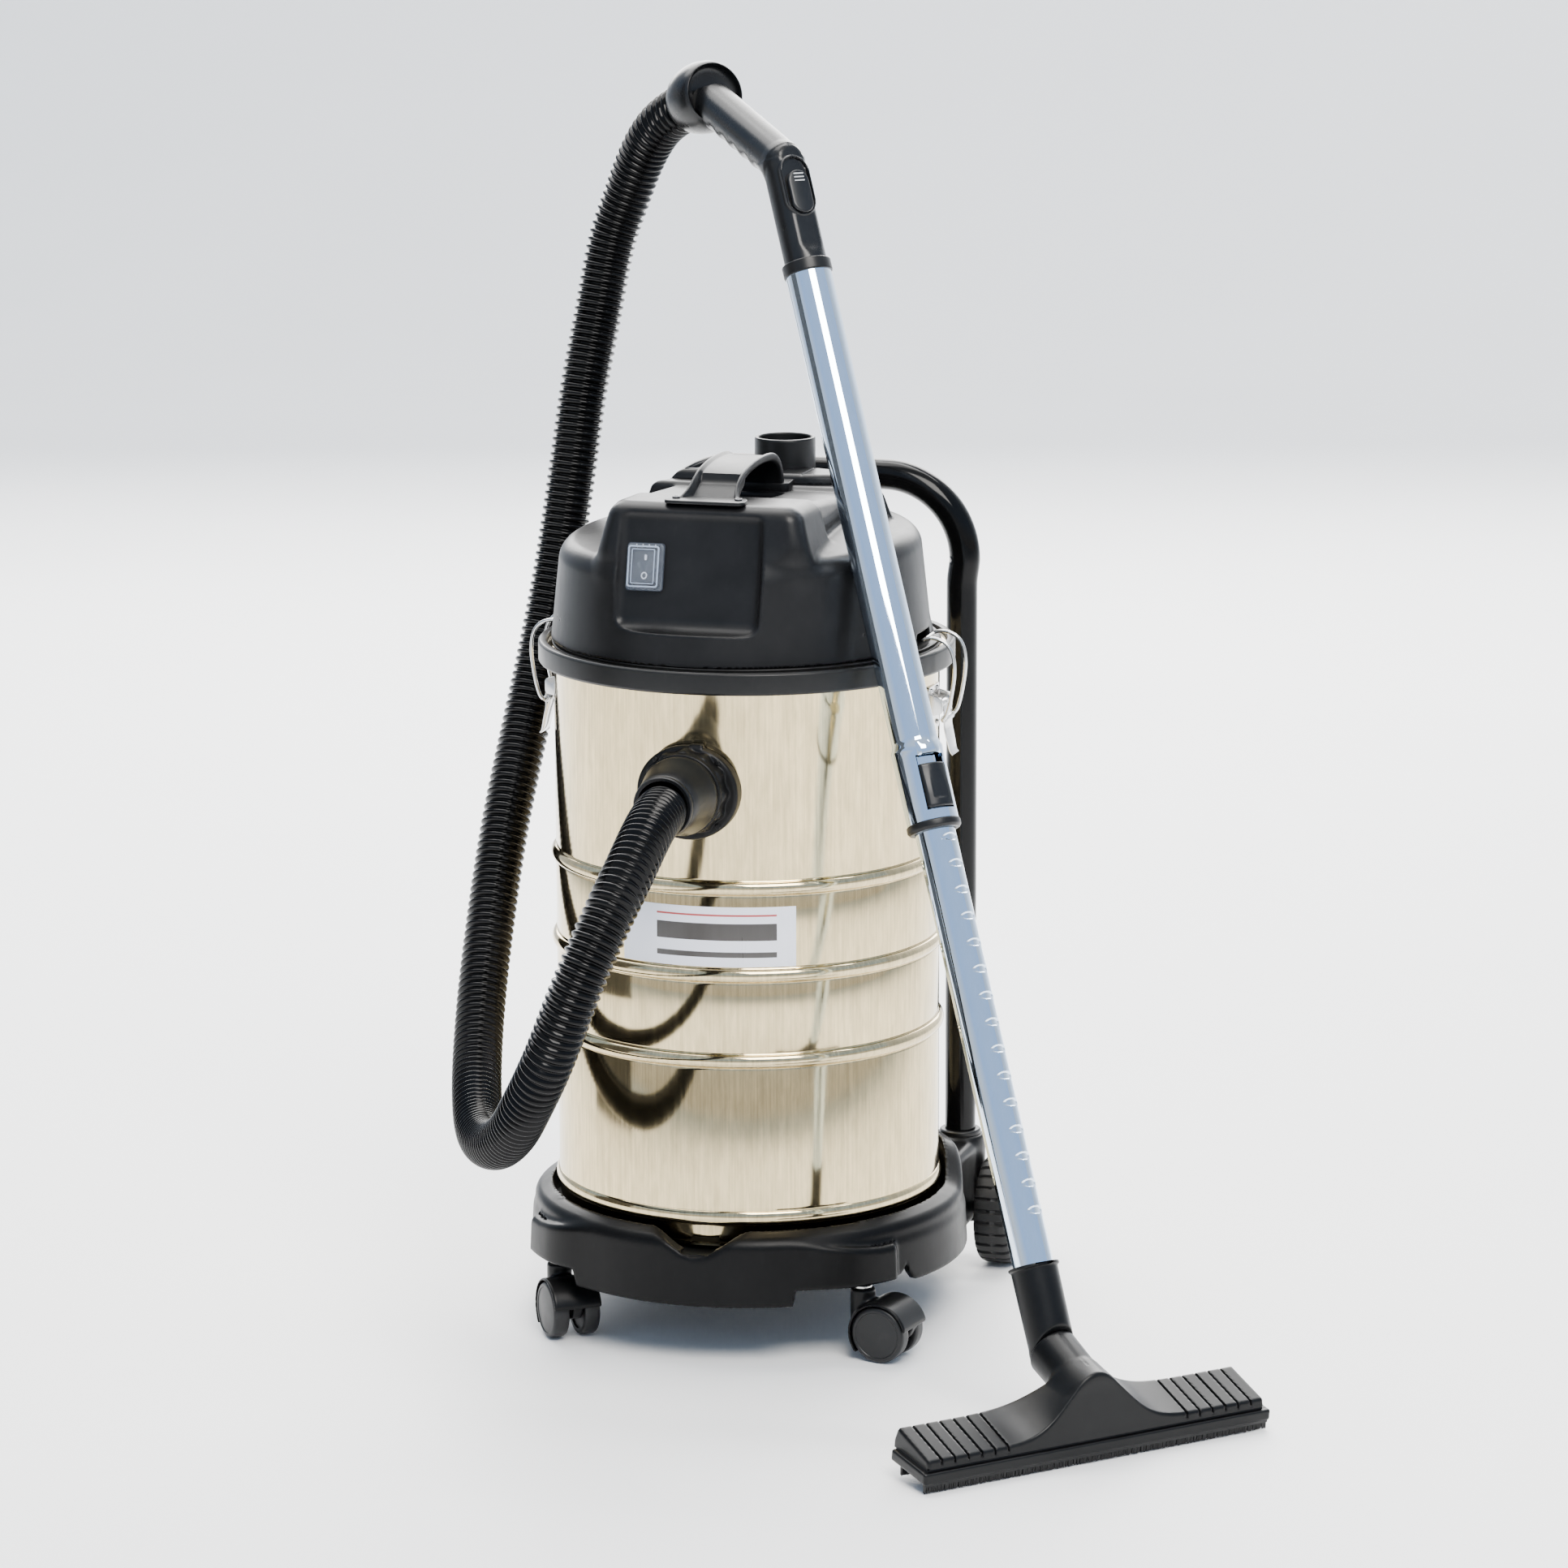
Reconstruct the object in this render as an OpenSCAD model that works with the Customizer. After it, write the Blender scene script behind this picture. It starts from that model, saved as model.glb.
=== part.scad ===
// Wet and dry shop vacuum: steel tank on a wheeled dolly, motor head, hose,
// telescopic wand and floor tool. Millimetres, +Z up, standing on z = 0.

/* [Tank] */
// Outer radius of the steel tank
tank_r = 170; // [168:1:171]
// Height of the tank's bottom above the floor
tank_z = 119; // [118:1:119]
// Wall thickness of the tank
tank_wall = 1.2; // [0.8:0.2:1.6]
// How far the rolled ribs stand out of the wall
rib_out = 4; // [2:0.5:5]
// Outer radius of the plastic rim ring
ring_r = 183.7; // [182:0.1:185]

/* [Head] */
// Radius of the head at its lower edge
head_r = 168; // [166:0.5:169]
// Radius of the head at its shoulder
shoulder_r = 156; // [152:0.5:156]
// Height of the top of the front box
box_top = 746; // [742:1:750]
// Outer radius of the blower port
port_r = 27.3; // [25:0.1:29]
// Bore radius of the blower port
port_bore_r = 23.75; // [22:0.05:24]

/* [Dolly] */
// Outer radius of the dolly's skirt
dolly_r = 195; // [192:1:196]
// Radius of the rear wheels
rear_wheel_r = 50; // [48:1:51]
// Width of a rear tyre
rear_tyre_w = 34; // [30:1:36]
// Radius of the caster wheels
caster_r = 25; // [24:0.5:25]
// Diameter of the push handle's tube
push_d = 28; // [26:0.5:28]

/* [Wand] */
// Turn of the wand's plane about the vertical, in degrees
wand_yaw = 46.5; // [46:0.1:47]
// Lean of the wand from the vertical, in degrees
wand_lean = 25; // [24.9:0.1:25]
// Outer radius of the upper wand tube
upper_r = 20; // [19.5:0.1:20]
// Outer radius of the lower wand tube
lower_r = 17.25; // [17:0.05:17.25]
// Half the length of the floor tool
tool_half = 172; // [150:1:175]

/* [Hose] */
// Outer diameter of the hose
hose_d = 44; // [40:1:45]

/* [Hidden] */
$fn = 96;

// The whole object's box is centred on the origin by these offsets
tank_x = -162;
tank_y = 119;

// Tank stack
wall_in = tank_r - tank_wall;
tank_top = 606;
ring_z = 591;
ring_top = 610.5;
rib_z = [420, 343, 267];
inlet_z = 506;

// Head stack
gasket_z = tank_top + 0.2;
plate_z = gasket_z + 2.6;
head_z = plate_z + 2.8;
shoulder_z = 697;
dome_top = 714;
deck_top = 736;
skin = 3;
face_lean = 12.76;
face_y = -128;
port_y = 120;
port_top = 771;
rocker_at = [-48, 4, -55];

// Dolly
caster_at = [[-140, -120], [140, -120]];
caster_turn = [-52, -11];
trail = 24;
stem_r = 5.5;
axle_r = 6;
axle_y = 189;
rear_x = 187;
push_x = 143;
push_y = 200;
push_bend = 75;
push_top = 728;

// Latches
latch_pivot = [179, 560];
wire_pivot = [183, 547];
wire_r = 1.6;
wire_y = 18.8;
wire_bend = 4;
wire_sides = 12;
wire_path = [wire_pivot, [190, 566], [194, 586], [193, 604], [187, 617], [176, 620], [165, 617.1]];

// Wand, measured along its own axis from the floor
foot = [408, -352];
axis_off = 36.84;
bend_at = 83.1;
sleeve_lo = 540;
sleeve_hi = 602;
upper_end = 1038;
elbow_at = 1133.3;
grip_tilt = -46;
grip_len = 144;
neck_tilt = -68;
tool_pitch = 8;
bell_tilt = -105;
handle_r = 18;

// Hose route, from the tank's cuff to the handle's bell, about the tank's axis
hose_route = [
    [0, -247, 503], [2, -276, 500], [4, -312, 490], [2, -350, 468], [-6, -380, 438],
    [-24, -404, 386], [-50, -402, 322], [-78, -378, 274], [-102, -346, 242],
    [-130, -306, 218], [-158, -260, 208], [-182, -210, 214], [-204, -150, 242],
    [-218, -94, 298], [-224, -42, 374], [-224, -4, 440], [-220, 40, 516],
    [-213, 66, 580], [-204, 88, 656], [-196, 106, 738], [-190, 122, 808],
    [-182, 138, 870], [-172, 150, 936], [-158, 153, 978], [-140, 147, 1018],
    [-118, 134, 1046], [-86, 117, 1066]
];
hose_split = 19;
hose_sides = 10;
hose_gap = 0.3;

// ---- helpers ----

module at_tank() translate([tank_x, tank_y, 0]) children();

// Floor tool's plane: x along the tool, y towards the tank, z up
module at_foot() at_tank() translate([foot[0], foot[1], 0])
    rotate([0, 0, wand_yaw]) children();

// Wand's own axis: z runs up the wand from the floor
module at_wand() at_foot() translate([0, axis_off, 0]) rotate([-wand_lean, 0, 0]) children();

// Grip's axis: z runs from the elbow to the hose bell
module at_grip() at_wand() translate([0, 0, elbow_at]) rotate([grip_tilt, 0, 0]) children();

// Bell's axis: z points out of the bell, towards the hose
module at_bell() at_grip() translate([0, 0, grip_len])
    rotate([bell_tilt - grip_tilt + wand_lean, 0, 0]) children();

// Neck's axis: z points out of the tool's mouth
module at_neck() at_wand() translate([0, 0, bend_at])
    rotate([neck_tilt + wand_lean, 0, 0]) children();

module tube(r_out, r_in, h) difference() {
    cylinder(r = r_out, h = h);
    translate([0, 0, -1]) cylinder(r = r_in, h = h + 2);
}

function unit(v) = v / norm(v);

function spline(a, b, c, d, t) = 0.5 * (2 * b + (c - a) * t
    + (2 * a - 5 * b + 4 * c - d) * t * t + (3 * b - a - 3 * c + d) * t * t * t);

// Two points on the curve for every stretch between route points
function smooth(p) = let (n = len(p) - 1) concat(
    [for (i = [0 : n - 1], k = [0 : 1])
        spline(p[max(i - 1, 0)], p[i], p[i + 1], p[min(i + 2, n)], k / 2)],
    [p[n]]);

function heading(p, i) = unit(p[min(i + 1, len(p) - 1)] - p[max(i - 1, 0)]);

function ring_at(c, t, r, n) = let (u = unit(cross(t, [1, 0, 0])), v = cross(t, u))
    [for (k = [0 : n - 1]) c + r * (u * cos(360 * k / n) + v * sin(360 * k / n))];

// Closed skin over rings of equal length
module skin_over(rings) {
    n = len(rings[0]);
    last = (len(rings) - 1) * n;
    polyhedron(
        points = [for (r = rings) each r],
        faces = concat(
            [[for (k = [0 : n - 1]) k]],
            [[for (k = [n - 1 : -1 : 0]) last + k]],
            [for (i = [0 : len(rings) - 2], k = [0 : n - 1]) let (a = i * n, b = (k + 1) % n)
                [a + n + k, a + n + b, a + b, a + k]]
        ));
}

module hose(from, to, head_start, head_end) {
    p = smooth(hose_route);
    rings = [for (i = [2 * from : 2 * to])
        let (t = i == 0 ? head_start : (i == len(p) - 1 ? head_end : heading(p, i)))
        ring_at(p[i] + (i == 2 * from && from > 0 ? hose_gap : 0) * t, t, hose_d / 2, hose_sides)];
    skin_over(rings);
}

// ---- dolly ----

module dolly_base() color("#1c1c1d") at_tank() difference() {
    union() {
        rotate_extrude() polygon([[0, 110], [188, 110], [190, 56], [dolly_r, 56], [192, 100],
            [188, 117], [176, 121], [174, 118.8], [0, 118.8]]);
        for (p = caster_at) translate([p[0], p[1], 0]) {
            translate([0, 0, 64]) cylinder(r = 21, h = 44);
            translate([0, 0, 108]) cylinder(r1 = 21, r2 = 14, h = 7);
        }
        rear_block();
        for (s = [-1, 1]) translate([s * push_x, push_y, 60]) cylinder(r = 22, h = 50);
    }
    rotate([90, 0, 0]) translate([8, 125, 150]) cylinder(r = 30, h = 60);
    for (p = caster_at) translate([p[0], p[1], 50]) cylinder(r = stem_r + 0.05, h = 45);
    translate([0, 0, -1]) intersection() {
        cylinder(r = 250, h = 69);
        step_zones();
    }
    rotate([0, 90, 0]) translate([-rear_wheel_r, axle_y, -220]) cylinder(r = axle_r, h = 440);
    for (s = [-1, 1]) translate([s * push_x, push_y, 70]) cylinder(d = push_d, h = 60);
    translate([-120, 120, 30]) cube([240, 52, 74]);
    rear_wheel_arches();
}

module rear_block() difference() {
    translate([-165, 110, 36]) cube([330, 105, 76]);
    translate([0, 0, 30]) cylinder(r = 176, h = 78);
    translate([-170, 100, 30]) cube([340, 66, 14]);
}

// The skirt is cut higher beside each caster
module step_zones() for (s = [-1, 1]) scale([s, 1, 1])
    translate([90, -210, 0]) cube([110, 125, 69]);

module rear_wheel_arches() for (s = [-1, 1])
    translate([s * rear_x, axle_y, rear_wheel_r]) rotate([0, 90, 0])
        cylinder(r = rear_wheel_r + 5, h = rear_tyre_w + 4, center = true);

module handle_collars() color("#161617") at_tank() for (s = [-1, 1])
    translate([s * push_x, push_y, 112.2]) tube(19, push_d / 2, 9);

module push_handle() color("#0f0f10") at_tank() {
    bar_z = push_top - push_bend;
    for (s = [-1, 1]) {
        translate([s * push_x, push_y, 70]) cylinder(d = push_d, h = bar_z - 70);
        translate([s * (push_x - push_bend), push_y, bar_z]) rotate([90, 0, 0])
            rotate([0, 0, s > 0 ? 0 : 90]) rotate_extrude(angle = 90)
                translate([push_bend, 0]) circle(d = push_d);
    }
    translate([push_bend - push_x, push_y, push_top]) rotate([0, 90, 0])
        cylinder(d = push_d, h = 2 * (push_x - push_bend));
}

// Caster frame: stem at the origin, the wheels trail along +x
module at_caster(i) at_tank() translate([caster_at[i][0], caster_at[i][1], 0])
    rotate([0, 0, caster_turn[i]]) children();

module caster_fork(i) color("#151516") at_caster(i) difference() {
    union() {
        translate([trail, 0, caster_r]) rotate([90, 0, 0])
            cylinder(r = 28.5, h = 44, center = true);
        translate([0, 0, 26]) cylinder(r = 11, h = 34);
    }
    for (s = [-1, 1]) translate([trail, s * 14, caster_r]) rotate([90, 0, 0])
        cylinder(r = caster_r + 1.2, h = 19, center = true);
    translate([-40, -40, -10]) cube([120, 80, 24]);
    translate([trail + 10, -40, -10]) cube([60, 80, 32]);
    translate([trail, 0, caster_r]) rotate([90, 0, 0]) cylinder(r = 4.02, h = 60, center = true);
    translate([0, 0, 33.98]) cylinder(r = stem_r + 0.02, h = 30);
}

module caster_stem(i) color("#c9cacc") at_caster(i) {
    translate([0, 0, 34]) cylinder(r = stem_r, h = 58);
    translate([0, 0, 60.2]) cylinder(r = 8, h = 2.6);
    translate([trail, 0, caster_r]) rotate([90, 0, 0]) cylinder(r = 4, h = 42, center = true);
}

module caster_wheels(i) color("#1b1b1c") at_caster(i)
    for (s = [-1, 1]) translate([trail, s * 14.5, caster_r]) rotate([90, 0, 0]) difference() {
        rotate_extrude() polygon([[0, -7.5], [caster_r - 3, -7.5], [caster_r, -5],
            [caster_r, 5], [caster_r - 3, 7.5], [0, 7.5]]);
        translate([0, 0, -10]) cylinder(r = 4.05, h = 20);
    }

module rear_axle() color("#b9babd") at_tank() translate([0, axle_y, rear_wheel_r])
    rotate([0, 90, 0]) cylinder(r = axle_r, h = 2 * (rear_x + 26), center = true);

module axle_caps() color("#222223") at_tank() for (s = [-1, 1])
    translate([s * (rear_x + 23.2), axle_y, rear_wheel_r]) rotate([0, s * 90, 0])
        translate([0, 0, -2]) tube(13, axle_r, 6);

module at_rear(s) at_tank() translate([s * rear_x, axle_y, rear_wheel_r]) rotate([0, 90, 0]) children();

module rear_tyre(s) color("#111112") at_rear(s) rotate_extrude() polygon([
    [33, -rear_tyre_w / 2 + 3], [rear_wheel_r - 8, -rear_tyre_w / 2],
    [rear_wheel_r, -rear_tyre_w / 2 + 7], [rear_wheel_r, rear_tyre_w / 2 - 7],
    [rear_wheel_r - 8, rear_tyre_w / 2], [33, rear_tyre_w / 2 - 3]]);

module rear_hub(s) color("#2a2a2b") at_rear(s) rotate_extrude() polygon([
    [axle_r + 0.05, -20], [11, -20], [12, -12], [29, -10], [33, -14], [33, 14],
    [29, 10], [12, 12], [11, 20], [axle_r + 0.05, 20]]);

// ---- tank ----

// Outline of one rolled rib, centred on height z
function rib(z) = [[tank_r, z - 7], [tank_r + rib_out * 0.75, z - 4], [tank_r + rib_out, z],
    [tank_r + rib_out * 0.75, z + 4], [tank_r, z + 7]];

module tank_shell() color("#d9d6cf") at_tank() difference() {
    rotate_extrude() polygon(concat(
        [[0, tank_z], [168, tank_z], [172, tank_z + 2], [172.5, tank_z + 8], [170.5, tank_z + 15]],
        rib(rib_z[2]), rib(rib_z[1]), rib(rib_z[0]),
        [[tank_r, tank_top - 2], [176, tank_top - 2], [176, tank_top], [wall_in, tank_top],
         [wall_in, tank_z + 3], [0, tank_z + 3]]));
    inlet_hole(27);
}

module inlet_hole(r) translate([0, -150, inlet_z]) rotate([90, 0, 0]) cylinder(r = r, h = 60);

module tank_ring() color("#1d1d1e") at_tank() rotate_extrude() polygon([
    [tank_r + 0.2, ring_z], [ring_r - 1.5, ring_z], [ring_r, ring_z + 2], [ring_r, ring_top - 2],
    [ring_r - 2, ring_top], [176.4, ring_top], [176.4, tank_top - 2.2], [tank_r + 0.2, tank_top - 2.2]]);

module tank_label() color("#eef0f4") at_tank() translate([0, 0, 351.5]) rotate([0, 0, -112])
    rotate_extrude(angle = 53) translate([tank_r + 0.1, 0]) square([0.5, 50]);

module inlet_flange() color("#1a1a1b") at_tank() difference() {
    union() {
        translate([0, -152, inlet_z]) rotate([90, 0, 0]) cylinder(r = 45, h = 26);
        translate([0, -178, inlet_z]) rotate([90, 0, 0]) cylinder(r1 = 38, r2 = 35, h = 16);
        translate([-9, -178, inlet_z + 38]) cube([18, 20, 12]);
    }
    cylinder(r = tank_r + 0.2, h = 900);
    translate([0, -140, inlet_z]) rotate([90, 0, 0]) cylinder(r = 28.2, h = 70);
}

module inlet_screws() color("#8f9092") at_tank() for (a = [45, 135, 225, 315])
    translate([41 * cos(a), -178.2, inlet_z + 41 * sin(a)]) rotate([90, 0, 0])
        cylinder(r = 2.6, h = 1.4);

module inlet_cuff() color("#171718") at_tank() translate([0, -172, inlet_z]) rotate([90, 0, 0])
    rotate_extrude() polygon([[18, 0], [28, 0], [28, 22.4], [34, 22.4], [34, 30], [31, 44],
        [26, 75], [18, 75]]);

// ---- latches ----

// Latch frame: x outwards, y along the rim; the left side is turned round
module at_latch(s) at_tank() rotate([0, 0, s > 0 ? 0 : 180]) children();

module latch_bracket(s) color("#b7b8bb") at_latch(s) difference() {
    union() {
        translate([168, -18, 536]) cube([6, 36, 40]);
        for (y = [-16.4, 14.4]) translate([170, y, 549]) cube([13, 2, 20]);
        translate([latch_pivot[0], 0, latch_pivot[1]]) rotate([90, 0, 0])
            cylinder(r = 2, h = 31, center = true);
    }
    translate([0, 0, 500]) cylinder(r = tank_r + 0.1, h = 100, $fn = 400);
}

module latch_lever(s) color("#c3c4c7") at_latch(s) difference() {
    union() {
        translate([latch_pivot[0], 0, latch_pivot[1]]) rotate([90, 0, 0])
            cylinder(r = 4, h = 25, center = true);
        translate([181, -12.5, 540]) cube([2.6, 25, 20]);
        translate([wire_pivot[0], 0, wire_pivot[1]]) rotate([90, 0, 0])
            cylinder(r = 3.4, h = 25, center = true);
        translate([181, -12.5, 541]) rotate([0, 168, 0]) translate([-2.4, 0, 0]) cube([2.4, 25, 27]);
    }
    translate([latch_pivot[0], 0, latch_pivot[1]]) rotate([90, 0, 0])
        cylinder(r = 2.05, h = 40, center = true);
    translate([wire_pivot[0], 0, wire_pivot[1]]) rotate([90, 0, 0])
        cylinder(r = wire_r + 0.05, h = 40, center = true);
}

// Bend from a side wire at corner p, heading d, onto the bar that joins the two sides
function wire_corner(p, d) = [for (a = [0 : 22.5 : 90]) [p[0], wire_y - wire_bend, p[1]]
    + wire_bend * [d[0] * (sin(a) - 1), cos(a), d[1] * (sin(a) - 1)]];

function backwards(list) = [for (i = [len(list) - 1 : -1 : 0]) list[i]];

// Centre line of one half of the wire, from the pivot bar to the hooked bar
function wire_half() = let (n = len(wire_path) - 1) concat(
    backwards(wire_corner(wire_path[0], unit(wire_path[0] - wire_path[1]))),
    [for (i = [1 : n - 1]) [wire_path[i][0], wire_y, wire_path[i][1]]],
    wire_corner(wire_path[n], unit(wire_path[n] - wire_path[n - 1])));

// Section of the wire at c, heading t, on the side s of the centre plane
function wire_ring(c, t, s) = let (u = unit(cross(t, [0, s, 0])), v = cross(t, u))
    [for (k = [0 : wire_sides - 1]) c + wire_r * (u * cos(360 * k / wire_sides)
        + v * sin(360 * k / wire_sides))];

module latch_wire(s) color("#d0d1d3") at_latch(s) {
    half = wire_half();
    line = concat(half, [for (p = backwards(half)) [p[0], -p[1], p[2]]]);
    count = len(line);
    polyhedron(
        points = [for (i = [0 : count - 1]) each wire_ring(line[i],
            unit(line[(i + 1) % count] - line[(i + count - 1) % count]), i < count / 2 ? 1 : -1)],
        faces = [for (i = [0 : count - 1], k = [0 : wire_sides - 1])
            let (a = i * wire_sides, b = ((i + 1) % count) * wire_sides, j = (k + 1) % wire_sides)
            [b + k, b + j, a + j, a + k]]);
}

// ---- head ----

module head_gasket() color("#2b2b2c") at_tank() translate([0, 0, gasket_z])
    tube(172, 160, plate_z - gasket_z - 0.2);

module motor_plate() color("#202021") at_tank() translate([0, 0, plate_z])
    tube(170, 32, head_z - plate_z - 0.2);

module dome(i) rotate_extrude() polygon([[0, head_z - i / 4], [head_r - i, head_z - i / 4],
    [shoulder_r - i, shoulder_z], [shoulder_r - 10 - i, dome_top - i], [0, dome_top - i]]);

module front_box(i) hull() {
    translate([-92 + i, face_y - 24 + i, box_top - 106]) cube([184 - 2 * i, 110, 1]);
    translate([-84 + i, face_y + i, box_top - 1 - i]) cube([168 - 2 * i, 78, 1]);
}

module deck(i) hull() {
    translate([0, 0, dome_top - 4]) cylinder(r = 127 - i, h = 1, $fn = 32);
    translate([0, 0, deck_top - 1 - i]) cylinder(r = 118 - i, h = 1, $fn = 32);
}

module grip_scoop(i) translate([-36 - i, -44 - i, dome_top + 2 - i]) cube([72 + 2 * i, 96 + 2 * i, 60]);

// Front face: x along it, y into the head, z up the face from its top edge
module at_face() at_tank() face_frame() children();

module face_frame() translate([0, face_y, box_top]) rotate([-face_lean, 0, 0]) children();

module head_cover() color("#1a1a1b") at_tank() difference() {
    union() {
        dome(0);
        front_box(0);
        deck(0);
    }
    difference() {
        union() {
            dome(skin);
            front_box(skin + 2);
            deck(skin);
        }
        grip_scoop(skin);
    }
    grip_scoop(0);
    face_frame() translate([-75, -40, -107]) cube([134, 42, 104]);
    face_frame() translate([-61, -6, -72]) cube([26, 20, 34]);
    translate([0, port_y, 690]) cylinder(r = port_r + 0.1, h = 80);
    gland_place() cylinder(r = 8, h = 40, center = true);
    for (s = [-1, 1]) rotate([0, 0, s > 0 ? 0 : 180]) translate([157, -22, 615]) cube([30, 44, 17]);
}

module exhaust_cover() color("#1d1d1e") at_tank() difference() {
    intersection() {
        translate([0, 0, deck_top + 0.2]) cylinder(r1 = 117, r2 = 112, h = 8);
        translate([-100, 66, deck_top]) cube([200, 60, 12]);
    }
    translate([0, port_y, 690]) cylinder(r = port_r + 0.3, h = 80);
}

module blower_port() color("#19191a") at_tank() difference() {
    union() {
        translate([0, port_y, 700]) cylinder(r = port_r, h = port_top - 700);
        translate([0, port_y, 700]) cylinder(r = port_r + 2, h = 3);
    }
    translate([0, port_y, 690]) cylinder(r = port_bore_r, h = 90);
}

// Side outline of the strap: from its front foot, over the top, to its rear foot
function strap_z(y) = 751 + 21 * sin(180 * pow((y + 112) / 186, 1.35));

module strap_outline(t) polygon(concat(
    [for (y = [-112 : 6 : 74]) [y, strap_z(y) + t]],
    [for (y = [74 : -6 : -112]) [y, strap_z(y) - 4.8]]));

module strap(x0, w, t) translate([x0, 0, 0]) rotate([90, 0, 90])
    linear_extrude(height = w) strap_outline(t);

module carry_handle() color("#1f1f20") at_tank() {
    strap(-22, 44, 0);
    strap(-22, 5, 3);
    strap(17, 5, 3);
    translate([-36, -126, box_top + 0.1]) cube([72, 24, 3]);
    translate([-22, -112, box_top + 0.1]) cube([44, 8, 6]);
    translate([-22, 62, deck_top + 8.3]) cube([44, 12, 5]);
}

module handle_screws() color("#6f7072") at_tank() for (x = [-28, 28])
    translate([x, -114, box_top + 3.2]) cylinder(r = 3.5, h = 1.6);

module gland_place() rotate([0, 0, 118]) translate([160, 0, 650]) rotate([0, 90, 0]) children();

module cable_gland() color("#101011") at_tank() difference() {
    union() {
        gland_place() translate([0, 0, -12]) cylinder(r = 7.9, h = 16);
        gland_place() translate([0, 0, 4.5]) cylinder(r = 11, h = 5);
        gland_place() translate([0, 0, 9.5]) cylinder(r1 = 8, r2 = 6, h = 22);
    }
    gland_place() translate([0, 0, -20]) cylinder(r = 4, h = 60);
}

module switch_frame() color("#151516") at_face() difference() {
    translate([-65, -0.2, -76]) cube([34, 2.1, 42]);
    translate([-60.2, -2, -71.4]) cube([24.4, 6, 32.8]);
}

module switch_rocker() color("#2c2f33") at_face() translate(rocker_at) rotate([-7, 0, 0]) difference() {
    union() {
        translate([-11.6, -5, -14.5]) cube([23.2, 7, 29]);
        rotate([0, 90, 0]) cylinder(r = 4, h = 23.2, center = true);
    }
    translate([-20, -24.8, 0]) rotate([0, 90, 0]) cylinder(r = 21, h = 40);
}

module switch_boot() color([0.75, 0.8, 0.88, 0.4]) at_face() difference() {
    translate([-64, -7, -75]) cube([32, 6.6, 40]);
    translate([-62.8, -5.8, -73.8]) cube([29.6, 10, 37.6]);
}

// ---- inside the head and tank ----

module fan_housing() color("#8a8b8d") at_tank() translate([0, 0, head_z]) difference() {
    cylinder(r = 72, h = 24);
    translate([0, 0, -1]) cylinder(r = 69, h = 23);
    cylinder(r = 8, h = 40);
    translate([0, 40, 3]) cube([30, 60, 16]);
}

module motor_body() color("#55565a") at_tank() translate([0, 0, head_z + 24.2]) difference() {
    union() {
        cylinder(r = 52, h = 44);
        translate([0, 0, 44]) cylinder(r = 30, h = 22);
    }
    translate([0, 0, -1]) cylinder(r = 5.05, h = 60);
}

module impeller() color("#c7c8ca") at_tank() translate([0, 0, head_z + 3]) difference() {
    union() {
        cylinder(r = 60, h = 2);
        translate([0, 0, 12]) cylinder(r = 60, h = 2);
        for (a = [0 : 45 : 315]) rotate([0, 0, a]) translate([22, -1, 0]) cube([36, 2, 14]);
        cylinder(r = 14, h = 14);
    }
    translate([0, 0, -1]) cylinder(r = 5.02, h = 20);
}

module motor_shaft() color("#d5d6d8") at_tank() translate([0, 0, head_z + 1]) cylinder(r = 5, h = 70);

module filter_cage() color("#202021") at_tank() translate([0, 0, 478]) difference() {
    union() {
        tube(78, 75, plate_z - 478.2);
        cylinder(r = 78, h = 3);
    }
    for (a = [0 : 60 : 300]) rotate([0, 0, a]) translate([60, -18, 20]) cube([40, 36, 88]);
}

module filter_cartridge() color("#e9e4d6") at_tank() translate([0, 0, 488]) tube(100, 78.1, 110);

module float_ball() color("#d46a2a") at_tank() translate([0, 0, 504]) sphere(r = 22);

// ---- floor tool ----

// Tool frame: y back along the tool's base, z square to it
module at_tool() at_foot() rotate([tool_pitch, 0, 0]) children();

// Rise of the middle of the tool's upper edge
function hump(x) = exp(-pow(x / 36, 2));

function tool_ring(x) = [[x, 2, 18], [x, 57, 18], [x, 59, 24], [x, 54, 36 + 6 * hump(x)],
    [x, 32, 31 + 34 * hump(x)], [x, 9, 27 + 40 * hump(x)], [x, 2, 22 + 8 * hump(x)]];

module floor_tool() color("#1b1b1c") difference() {
    union() {
        at_tool() skin_over([for (x = [-165, -88, -66, -50, -38, -28, -18, -9, 0, 9, 18, 28, 38, 50, 66, 88, 165])
            tool_ring(x)]);
        at_tool() translate([-tool_half, 0, 8]) cube([2 * tool_half, 54, 10]);
        at_neck() translate([0, 0, -62]) cylinder(r = 22, h = 62);
    }
    at_tool() translate([-150, 13, 0]) cube([300, 20, 22]);
    at_tool() translate([0, 23, 10]) cylinder(r = 9, h = 40);
    at_neck() translate([0, 0, -34]) cylinder(r = 18.3, h = 50);
    at_neck() translate([0, 0, -56]) cylinder(r = 15, h = 60);
}

module brush_strips() color("#0e0e0f") at_tool() for (y = [1, 37])
    translate([-tool_half + 4, y, 0]) cube([2 * tool_half - 8, 4, 8]);

module neck_elbow() color("#202021") difference() {
    union() {
        at_neck() translate([0, 0, -32]) cylinder(r = 18.25, h = 34);
        difference() {
            union() {
                at_wand() translate([0, 0, bend_at]) cylinder(r = 20, h = 73);
                at_wand() translate([0, 0, 154]) cylinder(r = 21.8, h = 2.5);
                at_wand() translate([0, 0, bend_at]) sphere(r = 20.2);
            }
            at_neck() translate([0, 0, -60]) cylinder(r = 60, h = 60.5);
        }
    }
    at_wand() translate([0, 0, bend_at + 24]) cylinder(r = lower_r + 0.05, h = 60);
    at_wand() translate([0, 0, bend_at]) cylinder(r = 14.5, h = 60);
    at_wand() translate([0, 0, bend_at]) sphere(r = 15);
    at_neck() translate([0, 0, -40]) cylinder(r = 14.5, h = 40);
}

// ---- wand ----

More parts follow.
